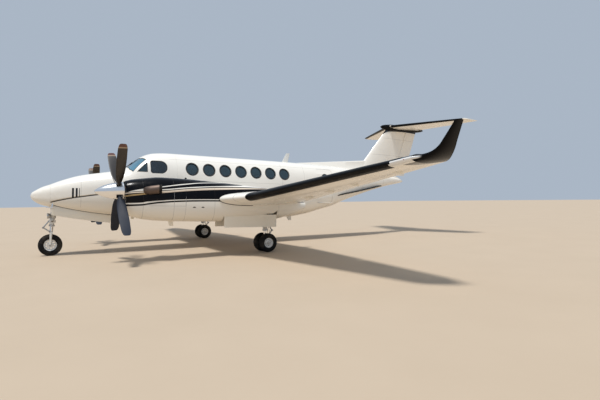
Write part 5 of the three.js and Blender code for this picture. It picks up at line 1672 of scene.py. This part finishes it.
def buildFittings():
    dress(aerialBlade("roofAerial", fittings["roofAerial"]), gearEnamel)
    blades = [aerialBlade("aerial", row, True) for row in fittings["bellyAerials"]]
    dress(joinPieces("bellyAerials", blades), gearEnamel)

    vents = [ventPatch(cowl, row) for row in fittings["nacelleVents"]]
    dressBothSides(vents, "nacelleVents", darkMatte)
    dressBothSides(ventPatch(body, fittings["hullVent"]), "hullVent", darkMatte)
    heads = []
    for station, low, high in fittings["rivetColumns"]:
        for k in range(fittings["rivetsInColumn"]):
            level = low + (high - low) * k / (fittings["rivetsInColumn"] - 1)
            heads.append((cowl.sidePoint(station, level, -0.0005), cowl.sideNormal(station, level)))
    rivets = studs("cowlFasteners", heads, 0.0065, 0.0016, steel)
    dressBothSides(rivets, "cowlFasteners")

    mast, middle = fittings["drainMast"], nacelle["centre"]
    keel = cowl.at(mast["front"])[2]
    rings = [lensRing(mast["front"], mast["back"], keel + 0.01, 0.022, middle),
             lensRing(mast["front"] + 0.03, mast["back"], keel - mast["drop"], 0.014, middle)]
    dressBothSides(lofted("drainMast", rings), "drainMast", doorPaint)

    size = fittings["pitot"]
    x, station, foot = size["x"], size["station"], size["level"] - size["drop"]
    stem = [body.sidePoint(station, size["level"], 0.01), (x, station - 0.02, foot)]
    tube = [(x, station + 0.01, foot), (x, station - size["reach"], foot)]
    parts = [bar(path, radii, chrome, 16, levelFrame)
             for path, radii in ((stem, (0.026, 0.015)), (tube, (0.013, 0.008)))]
    dressBothSides(parts, "pitot")

    brackets = []
    for x, station in fittings["brackets"]:
        sections = wingCentre["sections"] if x < 3.0 else wingOuter["sections"]
        _, _, middle, thickness = sectionBetween(sections, x)
        top = middle - thickness * 0.3 + 0.02
        rings = []
        for ahead, depth in fittings["bracketRings"]:
            low = (depth + 0.02) / 2
            rings.append([(x + 0.012 * sin(turn), station - ahead, top - low + low * cos(turn))
                          for turn in turns(16)])
        brackets.append(lofted("bracket", rings))
    dressBothSides(brackets, "hingeBrackets", doorPaint)

    for (side, sign), glass in zip(handed, (redLens, greenLens)):
        spots = [(sign * x, s, w) for x, s, w in fittings["navLight"]]
        lamp = bar(spots, (0.012, 0.014, 0.012, 0.005), glass, 16, levelFrame)
        lamp.name = f"navLight{side.capitalize()}"
        dress(lamp)
    station, heights, radii = fittings["beacon"]
    belly = body.topW(station, 0, below=True)
    beacon = bar([(0, station, belly + height) for height in heights], radii, redLens, 32, levelFrame)
    beacon.name = "bellyBeacon"
    dress(beacon)


noseDoor = {
    "front": 0.415, "back": 1.845, "x": 0.2797, "thickness": 0.012, "rise": 0.055, "drop": 0.2,
    "ribs": (0.62, 0.9, 1.18, 1.46, 1.72), "ribReach": 0.034, "seal": (0.46, 1.84),
}


def buildNoseDoors():
    size = noseDoor
    x, inner = size["x"], size["x"] - size["thickness"]
    front, back = size["front"], size["back"]
    top = [(s, body.at(s)[2] + size["rise"]) for s in (front, 0.8, 1.3, back)]
    foot = [(s, body.at(s)[2] - size["drop"]) for s in (back - 0.03, 1.3, 0.8, front + 0.01)]
    panel = softenEdges(sweptOutline("noseDoor", top + foot, inner, x), 0.003)
    dressBothSides(panel, "noseDoor", doorPaint, ["nose_door_{}"])
    ribs = []
    for station in size["ribs"]:
        keel = body.at(station)[2]
        rib = boxPiece("rib", (x - size["ribReach"], station - 0.012, keel - size["drop"] + 0.02),
                       (inner, station + 0.012, keel + 0.03))
        ribs.append(softenEdges(rib, 0.004))
    dressBothSides(ribs, "noseDoorRibs", doorPaint)
    # a dark seal along the door's top edge, also the painted shadow line between the door and the belly
    out = x + 0.004
    edge = [(out, s, body.topW(s, out, below=True) - 0.001) for s in np.linspace(*size["seal"], 24)]
    dressBothSides(barPiece("noseDoorSeal", edge, 0.0065, 10), "noseDoorSeal", sealRubber)


def buildEdgeSeals():
    # a dark seal where the wing's nose and underside meet the nacelle, also painted shade in that junction,
    # and a dark bar along the sharp edge of the strakes as their painted shadow
    path = []
    for part in np.linspace(0, 1, 20):
        station = wingOuter["sections"][0][1] + 0.004 + 0.9 * part * part
        leading, trailing, level, thickness = sectionBetween(wingOuter["sections"], 3.04)
        stop = max(station - leading, 0) / (trailing - leading)
        under = level - halfShape(stop, thickness) * (1 - 0.12)
        path.append((nacelle["centre"] + cowl.sideX(station, under) + 0.004, station, under - 0.004))
    # the seal bar is also painted shade along the junction
    dressBothSides(barPiece("wingRootSeal", path, 0.008, 10), "wingRootSeal", sealRubber)
    # a dark bar as the painted shadow under the strakes' edge
    edge = [(body.sideX(station, level) + reach + 0.001, station, level - 0.009)
            for station, level, reach in smoothTable(tail["strake"], 24)]
    dressBothSides(barPiece("strakeEdgeShadowLine", edge, 0.006, 8), "strakeEdgeShadowLine", sealRubber)


# Airstair door

airstair = {
    "plate": (8.33, 8.46, 1.88, 1.93, 0.02), "plateMiddle": (8.395, 1.905),
    # station, level and inset of the points along the handle
    "lever": ((8.345, 1.905, -0.008), (8.4, 1.905, -0.01), (8.448, 1.905, -0.006)),
    "treads": (1.5, 1.69, 1.88), "treadSpan": (8.39, 8.85), "treadReach": 0.19,
    "rails": (8.384, 8.856), "railPoints": ((1.42, 0.02), (1.6, 0.2), (2.05, 0.2), (2.25, 0.015)),
}


def buildAirstair():
    size, onDoor = airstair, onSide(body)
    centre, radius = door["window"], door["windowRadius"]
    pane = skinPatch("airstairPane", onDoor, centre, circle(centre, radius - 0.0015), 0.012, 0.01)
    dress(pane, darkGlass, body="airstair")
    seal = roundStrip(onDoor, centre, radius - 0.017, radius - 0.0008, 0.021, 0.016)
    seal.name = "airstairSeal"
    dress(seal, sealRubber, body="airstair")
    plate = skinPatch("plate", onDoor, size["plateMiddle"], roundedBox(*size["plate"]), -0.0008, 0.003, 2)
    lever = [body.sidePoint(*spot) for spot in size["lever"]]
    lever = bar(lever, (0.006, 0.007, 0.006), chrome, 10, levelFrame)
    dress(joinPieces("airstairHandle", [finished(plate, sealRubber), lever]), body="airstair")

    def innerSkin(level):
        return body.sideX(8.6, level) - fuselage["cabinWall"]

    parts = []
    front, back = size["treadSpan"]
    for level in size["treads"]:
        skin = innerSkin(level)
        reach = skin - size["treadReach"]
        tread = boxPiece("tread", (reach, front, level - 0.012), (skin + 0.004, back, level + 0.012))
        grip = boxPiece("grip", (reach + 0.005, front + 0.01, level + 0.0125),
                        (skin - 0.01, back - 0.01, level + 0.015))
        parts += [finished(softenEdges(tread, 0.005), castAlloy), finished(grip, carpet)]
    for station in size["rails"]:
        rail = [(innerSkin(level) - reach, station, level) for level, reach in size["railPoints"]]
        parts.append(bar(rail, 0.011, chrome, 12, levelFrame))
    dress(joinPieces("airstairTreads", parts), body="airstair")


# Seats and cockpit, seen through the glass

inside = {
    "floor": 1.37,
    # station and facing of each row of two seats, and how far out they stand
    "cabinSeats": (((4.32, -1), (5.24, 1), (6.16, -1), (7.08, 1)), 0.415),
    "pilotSeats": (((3.12, 1),), 0.33),
    # distance behind the seat's middle, half width, half length, lowest and highest level over the floor
    "seat": ((0.0, 0.25, 0.255, 0.3, 0.432), (0.175, 0.25, 0.085, 0.432, 0.775),
             (0.185, 0.15, 0.06, 0.775, 0.9)),
    "screens": (-0.4, -0.13, 0.13, 0.4), "columns": (-0.33, 0.33),
    # across and level of the points along a control wheel
    "wheel": ((-0.13, 1.99), (-0.13, 1.9), (-0.05, 1.87), (0.05, 1.87), (0.13, 1.9), (0.13, 1.99)),
}


def seatParts(x, station, facing):
    # a cushion, a back and a head rest, a little larger than the plain seat inside them
    parts = []
    for behind, half, long, low, high in inside["seat"]:
        centre = station + facing * behind
        part = boxPiece("pad", (x - half, centre - long, inside["floor"] + low),
                        (x + half, centre + long, inside["floor"] + high))
        parts.append(finished(softenEdges(part, 0.028, 3), leather))
    return parts


def buildInside():
    for name in ("cabinSeats", "pilotSeats"):
        rows, x = inside[name]
        parts = []
        for station, facing in rows:
            for side in (1, -1):
                parts += seatParts(side * x, station, facing)
        seats = joinPieces(name, parts)
        dress(seats)
    parts = [finished(boxPiece("screen", (x - 0.1, 2.4195, 1.985), (x + 0.1, 2.43, 2.13)), screenGlass)
             for x in inside["screens"]]
    for x in inside["columns"]:
        parts.append(bar([(x, 2.43, 1.86), (x, 2.6, 1.88)], 0.014, trim, 16, levelFrame))
        wheel = [(x + out, 2.6, level) for out, level in inside["wheel"]]
        parts.append(bar(wheel, 0.012, trim, 12, levelFrame))
    dress(joinPieces("cockpitControls", parts))


def dressCadNodes():  # nodes whose own shape is right keep it and get a finish
    for material, names in (
            (gearEnamel, ("nose_leg", "nose_fork", "main_leg_port", "main_leg_starboard")),
            (doorPaint, [f"main_door_{place}_{side}" for place in ("outer", "inner") for side, _ in handed]),
            (leather, ("cabin_interior",)), (trim, ("cockpit_interior",)),
            (fuselagePaint, ("airstair_door",))):
        for name in names:
            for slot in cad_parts[name].material_slots:
                slot.material = material


# Camera, light and floor

stage = {
    "lens": 425.6 / 600, "yaw": 59.06, "pitch": -0.04, "roll": -0.77, "camera": (12.898, -6.793, 1.372),
    "floorReach": 160, "floorColours": (rgb(190, 172, 150), rgb(182, 164, 142)),
    "sky": (0.72, 0.84, 1.0, 1.0), "skyStrength": 0.56,
    "sun": (1.0, 0.975, 0.94), "sunStrength": 3.1, "sunWidth": 9, "sunWay": (-0.29, 0.47, -2.0),
}


def buildStage():
    camera = bpy.data.cameras.new("camera")
    camera.sensor_width = 36.0
    camera.lens = stage["lens"] * camera.sensor_width
    camera.clip_end = 400
    yaw, pitch, roll = (radians(stage[key]) for key in ("yaw", "pitch", "roll"))
    forward = Vector((-sin(yaw) * cos(pitch), cos(yaw) * cos(pitch), sin(pitch)))
    right = Vector((cos(yaw), sin(yaw), 0))
    up = right.cross(forward)
    tiltedRight = right * cos(roll) + up * sin(roll)
    tiltedUp = up * cos(roll) - right * sin(roll)
    turn = Matrix((tiltedRight, tiltedUp, -forward)).transposed().to_4x4()
    holder = newObject("camera", camera)
    holder.matrix_world = Matrix.Translation(stage["camera"]) @ turn
    bpy.context.scene.camera = holder

    reach = stage["floorReach"]
    corners = [(-reach, -reach, 0), (reach, -reach, 0), (reach, reach, 0), (-reach, reach, 0)]
    floor = rawPiece("floor", corners, [(0, 1, 2, 3)], Matrix())
    paint = Paint("paleFloor", Roughness=0.85)
    place, _ = paint.objectPlace()
    paint.use("Base Color", paint.mix(paint.noise(place, 0.7, 6.0, 0.6), *stage["floorColours"]))
    floor.data.materials.append(paint.material)

    world = bpy.data.worlds.new("softSky")
    bpy.context.scene.world = world
    world.use_nodes = True
    sky = world.node_tree.nodes["Background"]
    sky.inputs[0].default_value = stage["sky"]
    sky.inputs[1].default_value = stage["skyStrength"]
    sun = bpy.data.lights.new("key", "SUN")
    sun.energy = stage["sunStrength"]
    sun.angle = radians(stage["sunWidth"])
    sun.color = stage["sun"]
    newObject("key", sun).rotation_euler = Vector(stage["sunWay"]).to_track_quat("-Z", "Y").to_euler()
    bpy.context.scene.view_settings.view_transform = "Standard"


buildStage()
buildFuselage()
print("fuselage built")
buildWings()
buildWinglets()
print("wings built")
buildTail()
print("tail built")
buildNacelles()
buildEngines()
buildPropellers()
print("power units built")
buildGlass()
buildWheels()
buildNoseLegDetails()
buildNoseForkDetails()
buildMainLegDetails()
buildNoseDoors()
buildFittings()
buildEdgeSeals()
buildAirstair()
buildInside()
dressCadNodes()
print("glass and gear built")
